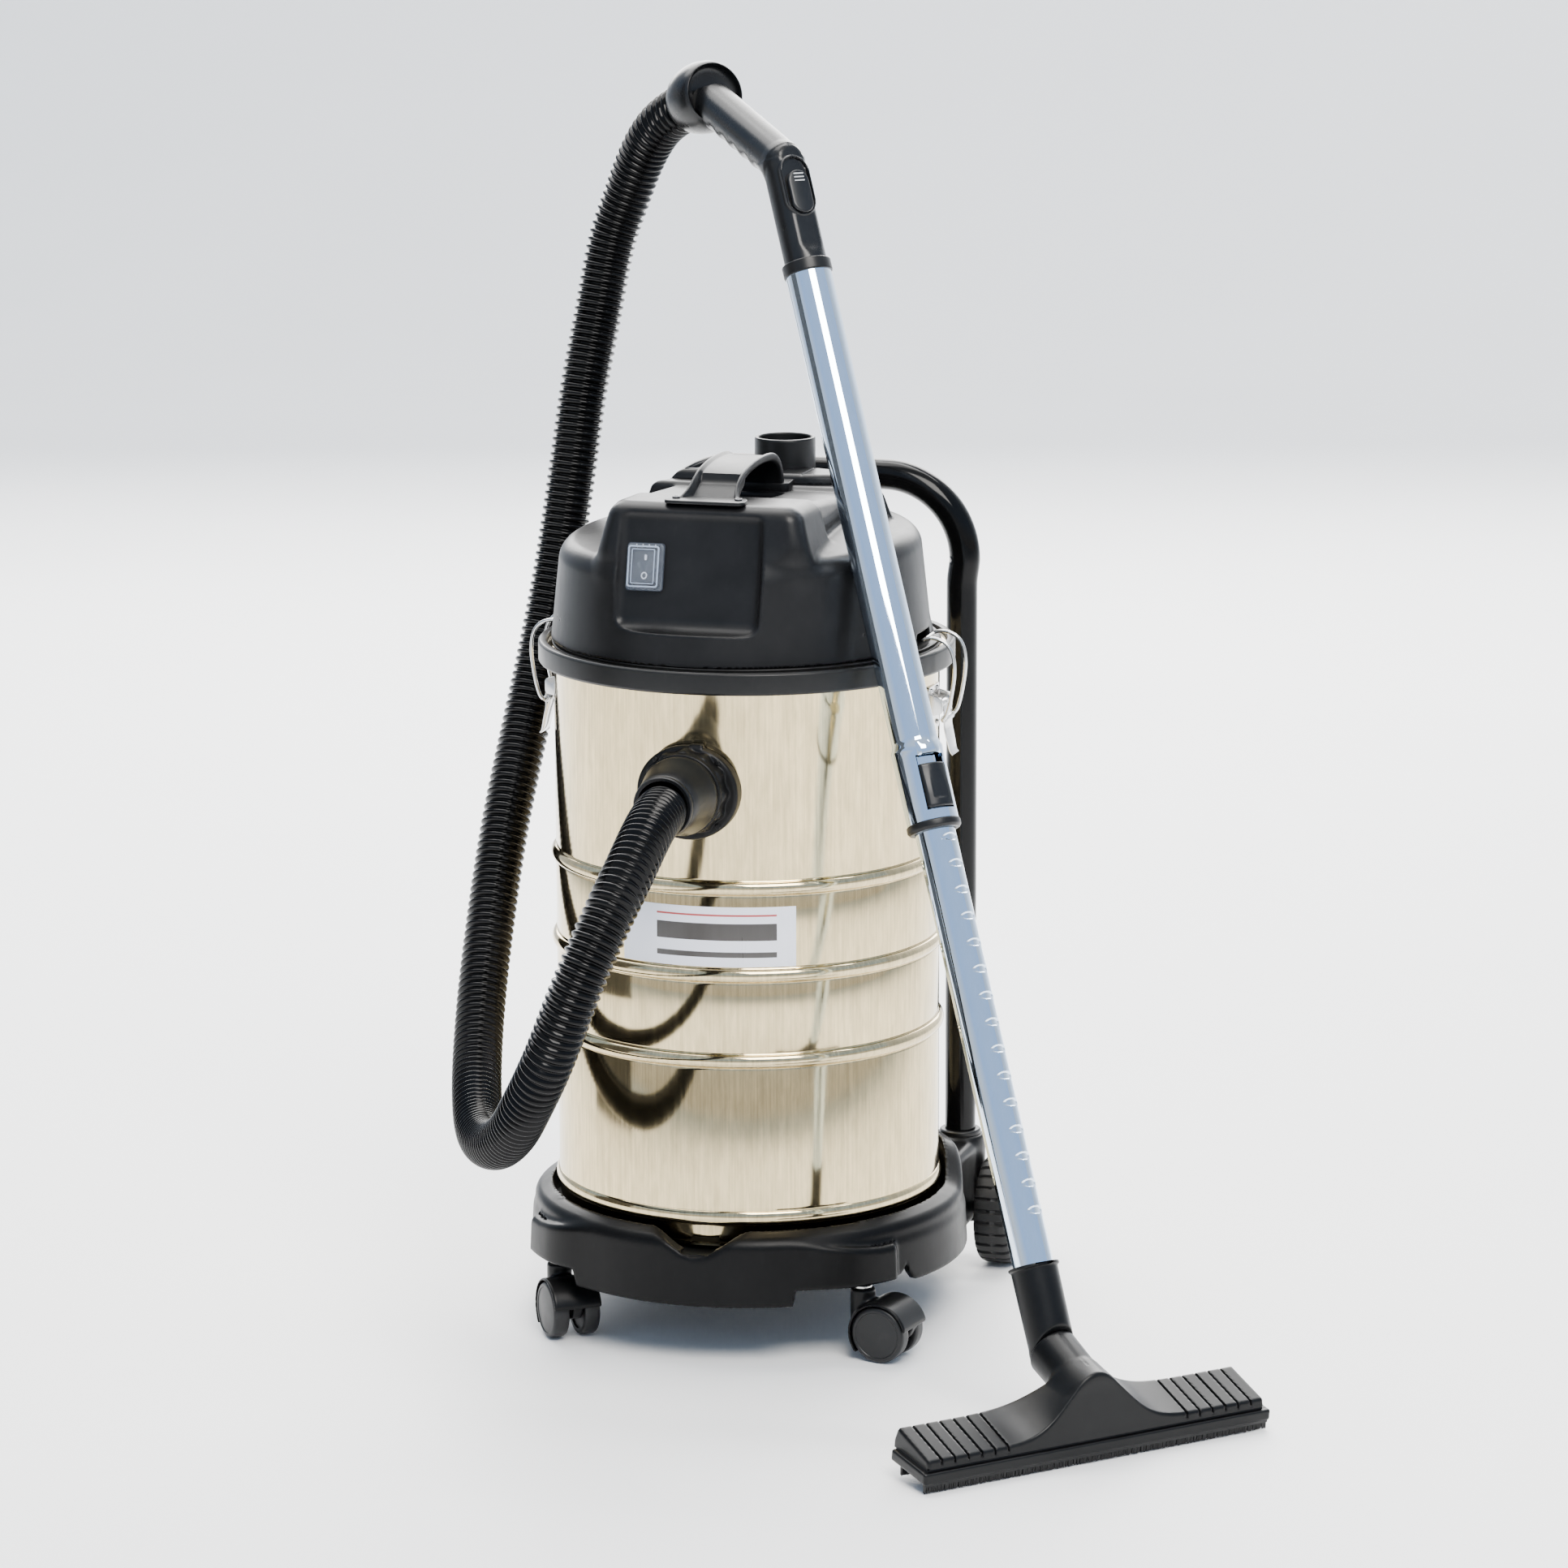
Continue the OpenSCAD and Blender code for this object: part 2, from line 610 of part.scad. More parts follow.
module wand_lower() color("#dcdde0") at_wand() difference() {
    translate([0, 0, bend_at + 25]) tube(lower_r, lower_r - 1.1, 500);
    for (k = [0 : 14]) translate([0, -lower_r - 3.4, 200.2 + 23.1 * k]) rotate([0, 90, 0])
        cylinder(r = 4, h = 30, center = true);
}

module wand_end_ring() color("#121213") at_wand() translate([0, 0, sleeve_lo - 8])
    tube(23.4, lower_r + 0.35, 7.8);

module wand_upper() color("#dfe0e3") at_wand() difference() {
    rotate_extrude() polygon([[21.2, sleeve_lo], [22.3, sleeve_lo], [22.3, sleeve_hi],
        [upper_r, sleeve_hi + 10], [upper_r, upper_end], [18.9, upper_end], [18.9, sleeve_hi + 10],
        [21.2, sleeve_hi]]);
    translate([-13, -30, sleeve_lo + 8]) cube([26, 20, 48]);
}

module wand_lock_button() color("#131314") at_wand() difference() {
    intersection() {
        translate([-12.6, -25, sleeve_lo + 8.4]) cube([25.2, 20, 40]);
        translate([0, 0, sleeve_lo]) cylinder(r = 24.6, h = 60);
    }
    translate([0, 0, sleeve_lo]) cylinder(r = lower_r + 2.2, h = 60);
}

module wand_top_trim() color("#121213") at_wand() translate([0, 0, upper_end - 8])
    rotate_extrude() polygon([[upper_r + 0.05, 0], [21.4, 0], [21.4, 11], [18.75, 11], [18.75, 8.2],
        [upper_r + 0.05, 8.2]]);

module hose_handle() color("#3a3b3d") difference() {
    union() {
        at_wand() translate([0, 0, upper_end - 52]) cylinder(r = 18.7, h = 52);
        at_wand() translate([0, 0, upper_end - 1]) cylinder(r = handle_r, h = elbow_at - upper_end + 1);
        at_wand() translate([0, 0, elbow_at]) sphere(r = handle_r + 1);
        at_grip() cylinder(r = handle_r + 0.6, h = grip_len - 20);
    }
    at_wand() translate([0, 0, upper_end - 60]) cylinder(r = 14, h = elbow_at - upper_end + 60);
    at_wand() translate([0, 0, elbow_at]) sphere(r = 14.6);
    at_grip() cylinder(r = 14, h = grip_len);
    at_wand() translate([-11, -handle_r - 4, 1082]) cube([22, 6.2, 34 + 13]);
}

module air_slider() color("#18191b") at_wand() translate([-10.6, -handle_r - 2.4, 1082.4])
    cube([21.2, 4.2, 34]);

module hose_bell() color("#404143") difference() {
    union() {
        at_bell() translate([0, 0, -20]) cylinder(r1 = 28, r2 = 32, h = 12);
        at_bell() translate([0, 0, -8]) cylinder(r = 32, h = 20);
        at_bell() translate([0, 0, 12]) cylinder(r1 = 32, r2 = 24, h = 18);
    }
    at_bell() translate([0, 0, 6]) cylinder(r = 19, h = 40);
    at_grip() translate([0, 0, -30]) cylinder(r = handle_r + 0.7, h = grip_len + 14);
    at_bell() translate([0, 0, -4]) cylinder(r = 15, h = 20);
    at_grip() cylinder(r = 14, h = grip_len);
}

module hose_lower() color("#111112") at_tank() hose(0, hose_split, [0, -1, 0], [0, 0, 1]);

module hose_upper() color("#111112") at_tank() hose(hose_split, len(hose_route) - 1, [0, 0, 1],
    [0.70, -0.665, 0.259]);

dolly_base();
handle_collars();
push_handle();
caster_fork(0);  // caster_fork_left
caster_stem(0);  // caster_stem_left
caster_wheels(0);  // caster_wheels_left
caster_fork(1);  // caster_fork_right
caster_stem(1);  // caster_stem_right
caster_wheels(1);  // caster_wheels_right
rear_axle();
axle_caps();
rear_tyre(-1);  // rear_tyre_left
rear_hub(-1);  // rear_hub_left
rear_tyre(1);  // rear_tyre_right
rear_hub(1);  // rear_hub_right
tank_shell();
tank_ring();
tank_label();
inlet_flange();
inlet_screws();
inlet_cuff();
latch_bracket(-1);  // latch_bracket_left
latch_lever(-1);  // latch_lever_left
latch_wire(-1);  // latch_wire_left
latch_bracket(1);  // latch_bracket_right
latch_lever(1);  // latch_lever_right
latch_wire(1);  // latch_wire_right
head_gasket();
motor_plate();
head_cover();
exhaust_cover();
blower_port();
carry_handle();
handle_screws();
cable_gland();
switch_frame();
switch_rocker();
switch_boot();
fan_housing();
motor_body();
impeller();
motor_shaft();
filter_cage();
filter_cartridge();
float_ball();
floor_tool();
brush_strips();
neck_elbow();
wand_lower();
wand_end_ring();
wand_upper();
wand_lock_button();
wand_top_trim();
hose_handle();
air_slider();
hose_bell();
hose_lower();
hose_upper();
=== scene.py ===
"""Wet and dry shop vacuum: the looks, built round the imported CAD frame.

Lengths are millimetres about the tank's axis (front is -Y) until mesh() turns
them into metres in the shared frame.
"""

import bmesh
import bpy
import math
import numpy as np
from mathutils import Matrix, Vector


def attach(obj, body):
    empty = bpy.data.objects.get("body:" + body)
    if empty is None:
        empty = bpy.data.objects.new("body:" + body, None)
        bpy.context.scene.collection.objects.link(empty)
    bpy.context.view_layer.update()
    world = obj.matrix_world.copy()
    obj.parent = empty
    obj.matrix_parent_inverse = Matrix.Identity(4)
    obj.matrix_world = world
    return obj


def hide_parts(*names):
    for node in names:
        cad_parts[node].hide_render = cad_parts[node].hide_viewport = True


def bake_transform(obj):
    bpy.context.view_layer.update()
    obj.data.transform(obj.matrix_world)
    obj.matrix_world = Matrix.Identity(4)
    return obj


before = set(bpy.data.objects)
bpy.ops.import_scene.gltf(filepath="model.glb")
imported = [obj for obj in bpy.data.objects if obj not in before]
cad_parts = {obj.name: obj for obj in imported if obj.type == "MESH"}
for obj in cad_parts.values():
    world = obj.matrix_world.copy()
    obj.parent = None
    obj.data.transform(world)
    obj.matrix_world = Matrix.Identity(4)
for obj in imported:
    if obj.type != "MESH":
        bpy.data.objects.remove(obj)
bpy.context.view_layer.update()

TANK_AXIS = np.array([-162.0, 119.0, 0.0])


# ---------------------------------------------------------------- placing

def row(p):
    """Millimetres about the tank's axis to metres in the shared frame."""
    return (np.asarray(p, float) + TANK_AXIS) * 0.001


def move(x, y, z):
    return Matrix.Translation((x, y, z))


def turn(axis, degrees):
    return Matrix.Rotation(math.radians(degrees), 4, axis)


def place(matrix, pts):
    """The points after a 4x4 matrix."""
    m = np.array(matrix)
    return np.asarray(pts, float) @ m[:3, :3].T + m[:3, 3]


IDENTITY = Matrix.Identity(4)
# The wand stands on its floor tool and leans back; everything on it hangs off these frames.
FOOT = move(408, -352, 0) @ turn("Z", 46.5)
WAND = FOOT @ move(0, 36.84, 0) @ turn("X", -25)
BEND_AT = 83.1
ELBOW_AT = 1133.3
GRIP_LEN = 144
GRIP = WAND @ move(0, 0, ELBOW_AT) @ turn("X", -46)
BELL = GRIP @ move(0, 0, GRIP_LEN) @ turn("X", -34)
NECK = WAND @ move(0, 0, BEND_AT) @ turn("X", -43)
TOOL = FOOT @ turn("X", 8)
# The head's control panel leans back from the top of its box.
FACE_Y, BOX_TOP, FACE_LEAN = -128, 746, 12.76
FACE = move(0, FACE_Y, BOX_TOP) @ turn("X", -FACE_LEAN)
# Each caster's frame has its pin on z and trails its wheels along x.
CASTER_X, CASTER_Y = 140, 120
CASTERS = [("left", move(-CASTER_X, -CASTER_Y, 0) @ turn("Z", -52)),
           ("right", move(CASTER_X, -CASTER_Y, 0) @ turn("Z", -11))]


# ---------------------------------------------------------------- camera

def turn_about(axis, degrees):
    return Matrix.Rotation(math.radians(degrees), 3, axis)


def make_camera():
    """The photograph's own view: 17 degrees to the right of the front, a little above."""
    rise, side, distance, aim_height = 12.397, 17, 5000, 415
    yaw_off, pitch_off, roll_off = -0.3716, 0.6946, 0.272
    el = math.radians(rise)
    forward = Vector((0, math.cos(el), -math.sin(el)))
    up = Vector((0, math.sin(el), math.cos(el)))
    right = Vector((1, 0, 0))
    eye = Vector((0, 0, aim_height)) - forward * distance
    yaw = turn_about(up, yaw_off)
    forward, right = yaw @ forward, yaw @ right
    pitch = turn_about(right, pitch_off)
    forward, up = pitch @ forward, pitch @ up
    roll = turn_about(forward, roll_off)
    right, up = roll @ right, roll @ up
    about = turn_about("Z", side)
    forward, right, up, eye = about @ forward, about @ right, about @ up, about @ eye
    data = bpy.data.cameras.new("camera")
    data.sensor_fit = "HORIZONTAL"
    data.sensor_width = 36
    data.lens = 129.31
    data.clip_end = 60
    cam = bpy.data.objects.new("camera", data)
    pose = Matrix([right, up, -forward]).transposed().to_4x4()
    pose.translation = Vector(row(eye))
    cam.matrix_world = pose
    bpy.context.scene.collection.objects.link(cam)
    bpy.context.scene.camera = cam


make_camera()


# ---------------------------------------------------------------- materials

class Nodes:
    """Short words for building a shader tree."""

    def __init__(self, name):
        self.mat = bpy.data.materials.new(name)
        self.mat.use_nodes = True
        self.tree = self.mat.node_tree
        self.bsdf = self.tree.nodes["Principled BSDF"]
        self.out = self.tree.nodes["Material Output"]
        self.coords = self.tree.nodes.new("ShaderNodeTexCoord").outputs["Object"]

    def put(self, kind, **inputs):
        n = self.tree.nodes.new(kind)
        for key, value in inputs.items():
            if key in n.inputs.keys():
                self.link(value, n.inputs[key])
            else:
                setattr(n, key, value)
        return n

    def link(self, value, socket):
        if isinstance(value, bpy.types.NodeSocket):
            self.tree.links.new(value, socket)
        elif isinstance(value, tuple) and len(value) == 3 and socket.type == "RGBA":
            socket.default_value = (*value, 1)
        else:
            socket.default_value = value

    def mix(self, fac, a, b, blend="MIX"):
        n = self.tree.nodes.new("ShaderNodeMix")
        n.data_type, n.blend_type = "RGBA", blend
        for value, socket in ((fac, n.inputs[0]), (a, n.inputs[6]), (b, n.inputs[7])):
            self.link(value, socket)
        return n.outputs[2]

    def stretch(self, sx, sy, sz):
        n = self.put("ShaderNodeMapping")
        self.tree.links.new(self.coords, n.inputs["Vector"])
        n.inputs["Scale"].default_value = (sx, sy, sz)
        return n.outputs["Vector"]

    def noise(self, scale, detail=4, rough=0.55, vector=None, distortion=0.0):
        n = self.put("ShaderNodeTexNoise", Scale=scale, Detail=detail, Roughness=rough,
                     Distortion=distortion)
        self.tree.links.new(vector or self.coords, n.inputs["Vector"])
        return n.outputs["Fac"]

    def ramp(self, fac, stops):
        n = self.put("ShaderNodeValToRGB")
        self.tree.links.new(fac, n.inputs["Fac"])
        els = n.color_ramp.elements
        while len(els) < len(stops):
            els.new(0.5)
        for e, (pos, col) in zip(els, stops):
            e.position = pos
            e.color = (*col, 1) if hasattr(col, "__len__") else (col, col, col, 1)
        return n.outputs["Color"]

    def span(self, fac, lo, hi, from_lo=0.25, from_hi=0.75):
        n = self.put("ShaderNodeMapRange")
        self.tree.links.new(fac, n.inputs["Value"])
        for key, value in (("From Min", from_lo), ("From Max", from_hi),
                           ("To Min", lo), ("To Max", hi)):
            n.inputs[key].default_value = value
        return n.outputs["Result"]

    def math(self, op, a, b=0.5):
        n = self.put("ShaderNodeMath", operation=op)
        self.link(a, n.inputs[0])
        self.link(b, n.inputs[1])
        return n.outputs["Value"]

    def bump(self, height, strength, distance, normal=None):
        n = self.put("ShaderNodeBump", Strength=strength, Distance=distance)
        self.tree.links.new(height, n.inputs["Height"])
        if normal:
            self.tree.links.new(normal, n.inputs["Normal"])
        return n.outputs["Normal"]

    def set(self, **values):
        names = {"color": "Base Color", "metal": "Metallic", "rough": "Roughness",
                 "normal": "Normal", "spec": "Specular IOR Level", "ior": "IOR",
                 "clear": "Transmission Weight", "alpha": "Alpha"}
        for key, value in values.items():
            socket = self.bsdf.inputs[names[key]]
            self.link(value, socket)
        return self.mat


def moulded(name, tone, rough, grain=900, grain_depth=0.00006, spec=0.5, mottling=0.25):
    """Moulded plastic: spark-eroded grain, soft mottling, faint scuffs and dust."""
    m = Nodes(name)
    cloud = m.noise(14, 5, 0.6)
    fine = m.noise(grain, 3, 0.6)
    scuff = m.noise(120, 6, 0.7, m.stretch(1, 1, 0.25), 0.4)
    dark = tuple(c * (1 - mottling) for c in tone)
    light = tuple(min(1, c * (1 + mottling) + 0.002) for c in tone)
    base = m.ramp(cloud, [(0.3, dark), (0.7, light)])
    worn = tuple(min(1, c * 2.2 + 0.018) for c in tone)
    mixed = m.mix(m.span(scuff, 0.0, 0.16, 0.6, 0.82), base, worn)
    rough_map = m.math("ADD", m.span(cloud, rough - 0.05, rough + 0.06), m.span(scuff, -0.02, 0.04))
    return m.set(color=mixed, rough=rough_map, spec=spec,
                 normal=m.bump(fine, 0.35, grain_depth, m.bump(cloud, 0.1, 0.0004)))


def steel(name, tone, rough, grain=(1, 1, 1), grain_scale=300, depth=0.00002, tint=0.08,
          wave=0.0, fleck=0.0):
    """Bright metal: rolled grain, cloudy polish, fine pits and soft upright flecks."""
    m = Nodes(name)
    along = m.noise(grain_scale, 5, 0.65, m.stretch(*grain))
    cloud = m.noise(6, 4, 0.6, m.stretch(*[max(0.35, g) for g in grain]))
    speck = m.noise(1400, 2, 0.5)
    dark = tuple(c * (1 - tint) for c in tone)
    light = tuple(min(1, c * (1 + tint * 0.5)) for c in tone)
    blend = m.ramp(along, [(0.32, dark), (0.68, light)])
    rough_map = m.math("ADD", m.span(cloud, rough * 0.7, rough * 1.35),
                       m.span(along, -0.015, 0.03))
    normal = m.bump(along, 0.25, depth, m.bump(cloud, 0.3, wave) if wave else None)
    if fleck:
        spots = m.noise(130, 3, 0.6, m.stretch(1, 1, 0.28), 0.3)
        darker = m.mix(1.0, blend, (1 - fleck,) * 3, "MULTIPLY")
        blend = m.mix(m.span(spots, 0.0, 1.0, 0.35, 0.65), darker, blend)
    return m.set(color=blend, metal=1.0, rough=rough_map,
                 normal=m.bump(speck, 0.08, depth * 0.6, normal))


def rubber(name, tone, rough):
    """Rubber: fine grain, cloudy tone and a little pale dust."""
    m = Nodes(name)
    cloud = m.noise(30, 5, 0.65)
    fine = m.noise(1100, 3, 0.6)
    dust = m.noise(60, 6, 0.75)
    dark, light = (tuple(c * k for c in tone) for k in (0.7, 1.5))
    base = m.ramp(cloud, [(0.3, dark), (0.75, light)])
    mixed = m.mix(m.span(dust, 0.0, 0.14, 0.55, 0.85), base, (0.08, 0.075, 0.068))
    return m.set(color=mixed, rough=m.span(cloud, rough - 0.08, rough + 0.1),
                 spec=0.35, normal=m.bump(fine, 0.4, 0.00008))


MATS = {
    "head": moulded("head plastic", (0.0045, 0.0045, 0.005), 0.36, 1000, 0.00007, 0.24),
    "dolly": moulded("dolly plastic", (0.0018, 0.0018, 0.002), 0.36, 900, 0.00008, 0.13),
    "ring": moulded("ring plastic", (0.0055, 0.0055, 0.0055), 0.34, 1100, 0.00005, 0.27),
    "tube": moulded("push handle paint", (0.0012, 0.0012, 0.0013), 0.13, 700, 0.00002, 0.17),
    "flange": moulded("inlet plastic", (0.0035, 0.0034, 0.0034), 0.36, 1000, 0.00005, 0.17),
    "cuff": moulded("cuff rubber", (0.0035, 0.0037, 0.0042), 0.30, 1000, 0.00005, 0.2),
    "hose": moulded("hose plastic", (0.0012, 0.0012, 0.0013), 0.13, 500, 0.00002, 0.15),
    "handle": moulded("handle plastic", (0.0035, 0.0037, 0.0042), 0.27, 1200, 0.00005, 0.36),
    "slider": moulded("slider plastic", (0.005, 0.0055, 0.0065), 0.30, 1200, 0.00004, 0.33),
    "tool": moulded("tool plastic", (0.002, 0.0021, 0.0024), 0.33, 1000, 0.00007, 0.2),
    "caster": moulded("caster plastic", (0.003, 0.003, 0.0033), 0.31, 1100, 0.00006, 0.18),
    # The tank steel is tinted warm beige as a painted reflection of a beige ground, not the steel's
    # own colour.
    "tank": steel("tank steel painted ground reflection", (0.70, 0.57, 0.325), 0.09, (1, 1, 0.03), 420, 0.00005, 0.2,
                  0.0012, 0.16),
    # The wand chrome is tinted pale blue as a painted reflection of blue sky, not the chrome's own
    # colour.
    "chrome": steel("wand chrome painted sky reflection", (0.70, 0.82, 0.97), 0.03, (1, 1, 0.02), 200, 0.000006,
                    0.03),
    "screw": steel("screw steel", (0.10, 0.10, 0.105), 0.30, (1, 1, 1), 500, 0.00002, 0.1),
    "wire": steel("latch steel", (0.74, 0.73, 0.71), 0.16, (1, 1, 1), 500, 0.00002, 0.1),
    "alloy": steel("motor alloy", (0.55, 0.55, 0.56), 0.35, (1, 1, 1), 200, 0.00004, 0.15),
    "tyre": rubber("tyre rubber", (0.011, 0.011, 0.011), 0.55),
    "tread": rubber("caster tread", (0.008, 0.008, 0.0085), 0.40),
    "gasket": rubber("gasket rubber", (0.008, 0.008, 0.008), 0.6),
    "bristle": rubber("bristles", (0.005, 0.005, 0.005), 0.5),
}


# ---------------------------------------------------------------- mesh making

def settle(me, name, body, mat, replaces, sharp):
    """Gives a mesh its creases and material, and ties its object to the frame."""
    if sharp:
        me.set_sharp_from_angle(angle=math.radians(sharp))
    me.materials.append(MATS[mat] if isinstance(mat, str) else mat)
    ob = bpy.data.objects.new(name, me)
    bpy.context.scene.collection.objects.link(ob)
    if body:
        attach(ob, body)
    if replaces:
        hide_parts(*replaces)
    return ob


def mesh(name, verts, faces, body, mat, replaces=(), at=IDENTITY, sharp=40):
    """One piece of the visual model, from millimetres about the tank's axis."""
    me = bpy.data.meshes.new(name)
    me.from_pydata(row(place(at, verts)).tolist(), [], [list(map(int, f)) for f in faces])
    me.update()
    face_outwards(me)
    me.polygons.foreach_set("use_smooth", [True] * len(me.polygons))
    return settle(me, name, body, mat, replaces, sharp)


def face_outwards(me):
    """Makes every face of a closed mesh point out."""
    bm = bmesh.new()
    bm.from_mesh(me)
    bmesh.ops.recalc_face_normals(bm, faces=bm.faces)
    bm.to_mesh(me)
    bm.free()


class Heap:
    """Several solids gathered into one piece."""

    def __init__(self):
        self.v, self.f = [], []

    def add(self, verts, faces, at=IDENTITY):
        k = sum(len(v) for v in self.v)
        self.v.append(place(at, verts))
        self.f += [[int(i) + k for i in f] for f in faces]
        return self

    def make(self, name, body, mat, slot, replaces=(), at=IDENTITY, sharp=40):
        return mesh(name, np.concatenate(self.v), self.f, body, mat, replaces, at, sharp)


def loft(rings, looped=False):
    """Skin over closed rings of equal length, capped, or joined end to start if looped."""
    rings = [np.asarray(r, float) for r in rings]
    n, m = len(rings[0]), len(rings)
    faces = []
    for i in range(m if looped else m - 1):
        a, b = i * n, ((i + 1) % m) * n
        for k in range(n):
            j = (k + 1) % n
            faces.append((a + k, a + j, b + j, b + k))
    if not looped:
        faces.append(tuple(range(n - 1, -1, -1)))
        faces.append(tuple((m - 1) * n + k for k in range(n)))
    return np.concatenate(rings), faces


def lathe(profile, n=96, closed=False):
    """Turns an (r, z) outline about z. An outline that is closed makes a ring."""
    prof = np.asarray(profile, float)
    angles = np.radians(np.linspace(0, 360.0, n, endpoint=False))
    pts = np.array([[[r * math.cos(a), r * math.sin(a), z] for r, z in prof] for a in angles])
    m = len(prof)
    faces = []
    for i in range(n):
        a, b = i * m, ((i + 1) % n) * m
        for k in range(m if closed else m - 1):
            j = (k + 1) % m
            faces.append((a + k, b + k, b + j, a + j))
    return weld(pts.reshape(-1, 3), faces)


def turned(name, profile, n, body, mat, replaces=(), at=IDENTITY, sharp=40, closed=True):
    """One lathed piece."""
    v, f = lathe(profile, n, closed=closed)
    return mesh(name, v, f, body, mat, replaces, at, sharp)


def weld(v, faces, tol=1e-4):
    """Merges points that coincide, and drops faces that vanish."""
    key = np.round(v / tol).astype(np.int64)
    _, first, inverse = np.unique(key, axis=0, return_index=True, return_inverse=True)
    inverse = inverse.ravel()
    out = []
    for f in faces:
        g = []
        for i in f:
            j = int(inverse[i])
            if not g or g[-1] != j:
                g.append(j)
        if len(g) > 1 and g[0] == g[-1]:
            g.pop()
        if len(g) >= 3:
            out.append(g)
    return v[first], out


def rounded(points, radii, steps=6):
    """Rounds the corners of an outline of (a, b) points."""
    pts = [np.array(p, float) for p in points]
    n = len(pts)
    if not hasattr(radii, "__len__"):
        radii = [radii] * n
    out = []
    for i in range(n):
        p, a, b, r = pts[i], pts[i - 1], pts[(i + 1) % n], radii[i]
        if r <= 0:
            out.append(p)
            continue
        u, v = a - p, b - p
        lu, lv = np.linalg.norm(u), np.linalg.norm(v)
        u, v = u / lu, v / lv
        half = math.acos(max(-1, min(1, float(u @ v)))) / 2
        d = min(r / math.tan(half), lu * 0.49, lv * 0.49)
        r = d * math.tan(half)
        c = p + (u + v) / np.linalg.norm(u + v) * (r / math.sin(half))
        s, e = p + u * d - c, p + v * d - c
        a0, a1 = math.atan2(s[1], s[0]), math.atan2(e[1], e[0])
        da = (a1 - a0 + math.pi) % (2 * math.pi) - math.pi
        for k in range(steps + 1):
            t = a0 + da * k / steps
            out.append(c + r * np.array([math.cos(t), math.sin(t)]))
    return np.array(out)


def rect(x0, y0, x1, y1, radii, steps=6):
    """A rectangle with rounded corners, from its lower left corner round."""
    return rounded([(x0, y0), (x1, y0), (x1, y1), (x0, y1)], radii, steps)


def level(outline, z):
    """A flat outline laid at a height."""
    return np.column_stack([outline, np.full(len(outline), z)])


def around(angle, profile):
    """An upright (r, z) outline stood at an angle about z."""
    return [[r * math.cos(angle), r * math.sin(angle), z] for r, z in profile]


def slab(outline, z0, z1, edge=0.0, steps=3):
    """An outline pulled up from z0 to z1, its edges rounded by edge."""
    o = np.asarray(outline, float)
    c = o.mean(0)
    nrm = np.roll(o, -1, 0) - np.roll(o, 1, 0)
    nrm = np.stack([nrm[:, 1], -nrm[:, 0]], 1)
    nrm /= np.linalg.norm(nrm, axis=1)[:, None] + 1e-9
    if ((o - c) * nrm).sum() < 0:
        nrm = -nrm
    levels = [(edge * (1 - math.sin(t)), z0 + edge * (1 - math.cos(t)))
              for t in np.linspace(0, math.pi / 2, steps + 1)] if edge else [(0, z0)]
    levels += [(edge * (1 - math.cos(t)), z1 - edge * (1 - math.sin(t)))
               for t in np.linspace(0, math.pi / 2, steps + 1)] if edge else [(0, z1)]
    return loft([level(o - nrm * inset, z) for inset, z in levels])


def sweep(path, radius, sides=16, closed=False):
    """A round tube along a path, with no twist."""
    p = np.asarray(path, float)
    n = len(p)
    t = (np.roll(p, -1, 0) - np.roll(p, 1, 0)) if closed else np.gradient(p, axis=0)
    t /= np.linalg.norm(t, axis=1)[:, None]
    ref = np.array([0, 0, 1.0]) if abs(t[0][2]) < 0.9 else np.array([1.0, 0, 0])
    u = np.cross(ref, t[0])
    u /= np.linalg.norm(u)
    rings = []
    a = np.linspace(0, 2 * math.pi, sides, endpoint=False)
    section = np.column_stack([np.cos(a), np.sin(a)])
    radius = np.broadcast_to(radius, n)
    for i in range(n):
        u = u - t[i] * (u @ t[i])
        u /= np.linalg.norm(u)
        v = np.cross(t[i], u)
        rings.append(p[i] + radius[i] * (section[:, :1] * u + section[:, 1:] * v))
    return loft(rings, looped=closed)


def spline(points, per=8):
    """A smooth line through the points."""
    p = np.asarray(points, float)
    q = np.vstack([2 * p[0] - p[1], p, 2 * p[-1] - p[-2]])
    out = []
    for i in range(1, len(q) - 2):
        for k in range(per):
            t = k / per
            a, b, c, d = q[i - 1], q[i], q[i + 1], q[i + 2]
            out.append(0.5 * (2 * b + (c - a) * t + (2 * a - 5 * b + 4 * c - d) * t * t
                              + (3 * b - a - 3 * c + d) * t ** 3))
    out.append(p[-1])
    return np.array(out)


def even(path, step):
    """The same line with points a fixed step apart."""
    d = np.r_[0, np.cumsum(np.linalg.norm(np.diff(path, axis=0), axis=1))]
    n = max(2, int(round(d[-1] / step)) + 1)
    s = np.linspace(0, d[-1], n)
    return np.column_stack([np.interp(s, d, path[:, i]) for i in range(3)])


# ---------------------------------------------------------------- solid fields
# A field is a signed distance in millimetres, below zero inside. Where union, both and
# minus take an r, the edge that they make is rounded by that radius.

def union(a, b, r=0.0):
    if r <= 0:
        return np.minimum(a, b)
    return np.maximum(r, np.minimum(a, b)) - np.hypot(np.maximum(r - a, 0), np.maximum(r - b, 0))


def both(a, b, r=0.0):
    if r <= 0:
        return np.maximum(a, b)
    return np.minimum(-r, np.maximum(a, b)) + np.hypot(np.maximum(r + a, 0), np.maximum(r + b, 0))


def minus(a, b, r=0.0):
    return both(a, -b, r)


def box(x, y, z, cx, cy, cz, hx, hy, hz, r=0.0):
    """A box of half sizes hx, hy, hz about its centre, with edges rounded by r."""
    qx, qy, qz = abs(x - cx) - hx + r, abs(y - cy) - hy + r, abs(z - cz) - hz + r
    out = np.sqrt(np.maximum(qx, 0) ** 2 + np.maximum(qy, 0) ** 2 + np.maximum(qz, 0) ** 2)
    return out + np.minimum(np.maximum(qx, np.maximum(qy, qz)), 0) - r


def ball(x, y, z, c, r):
    return np.sqrt((x - c[0]) ** 2 + (y - c[1]) ** 2 + (z - c[2]) ** 2) - r


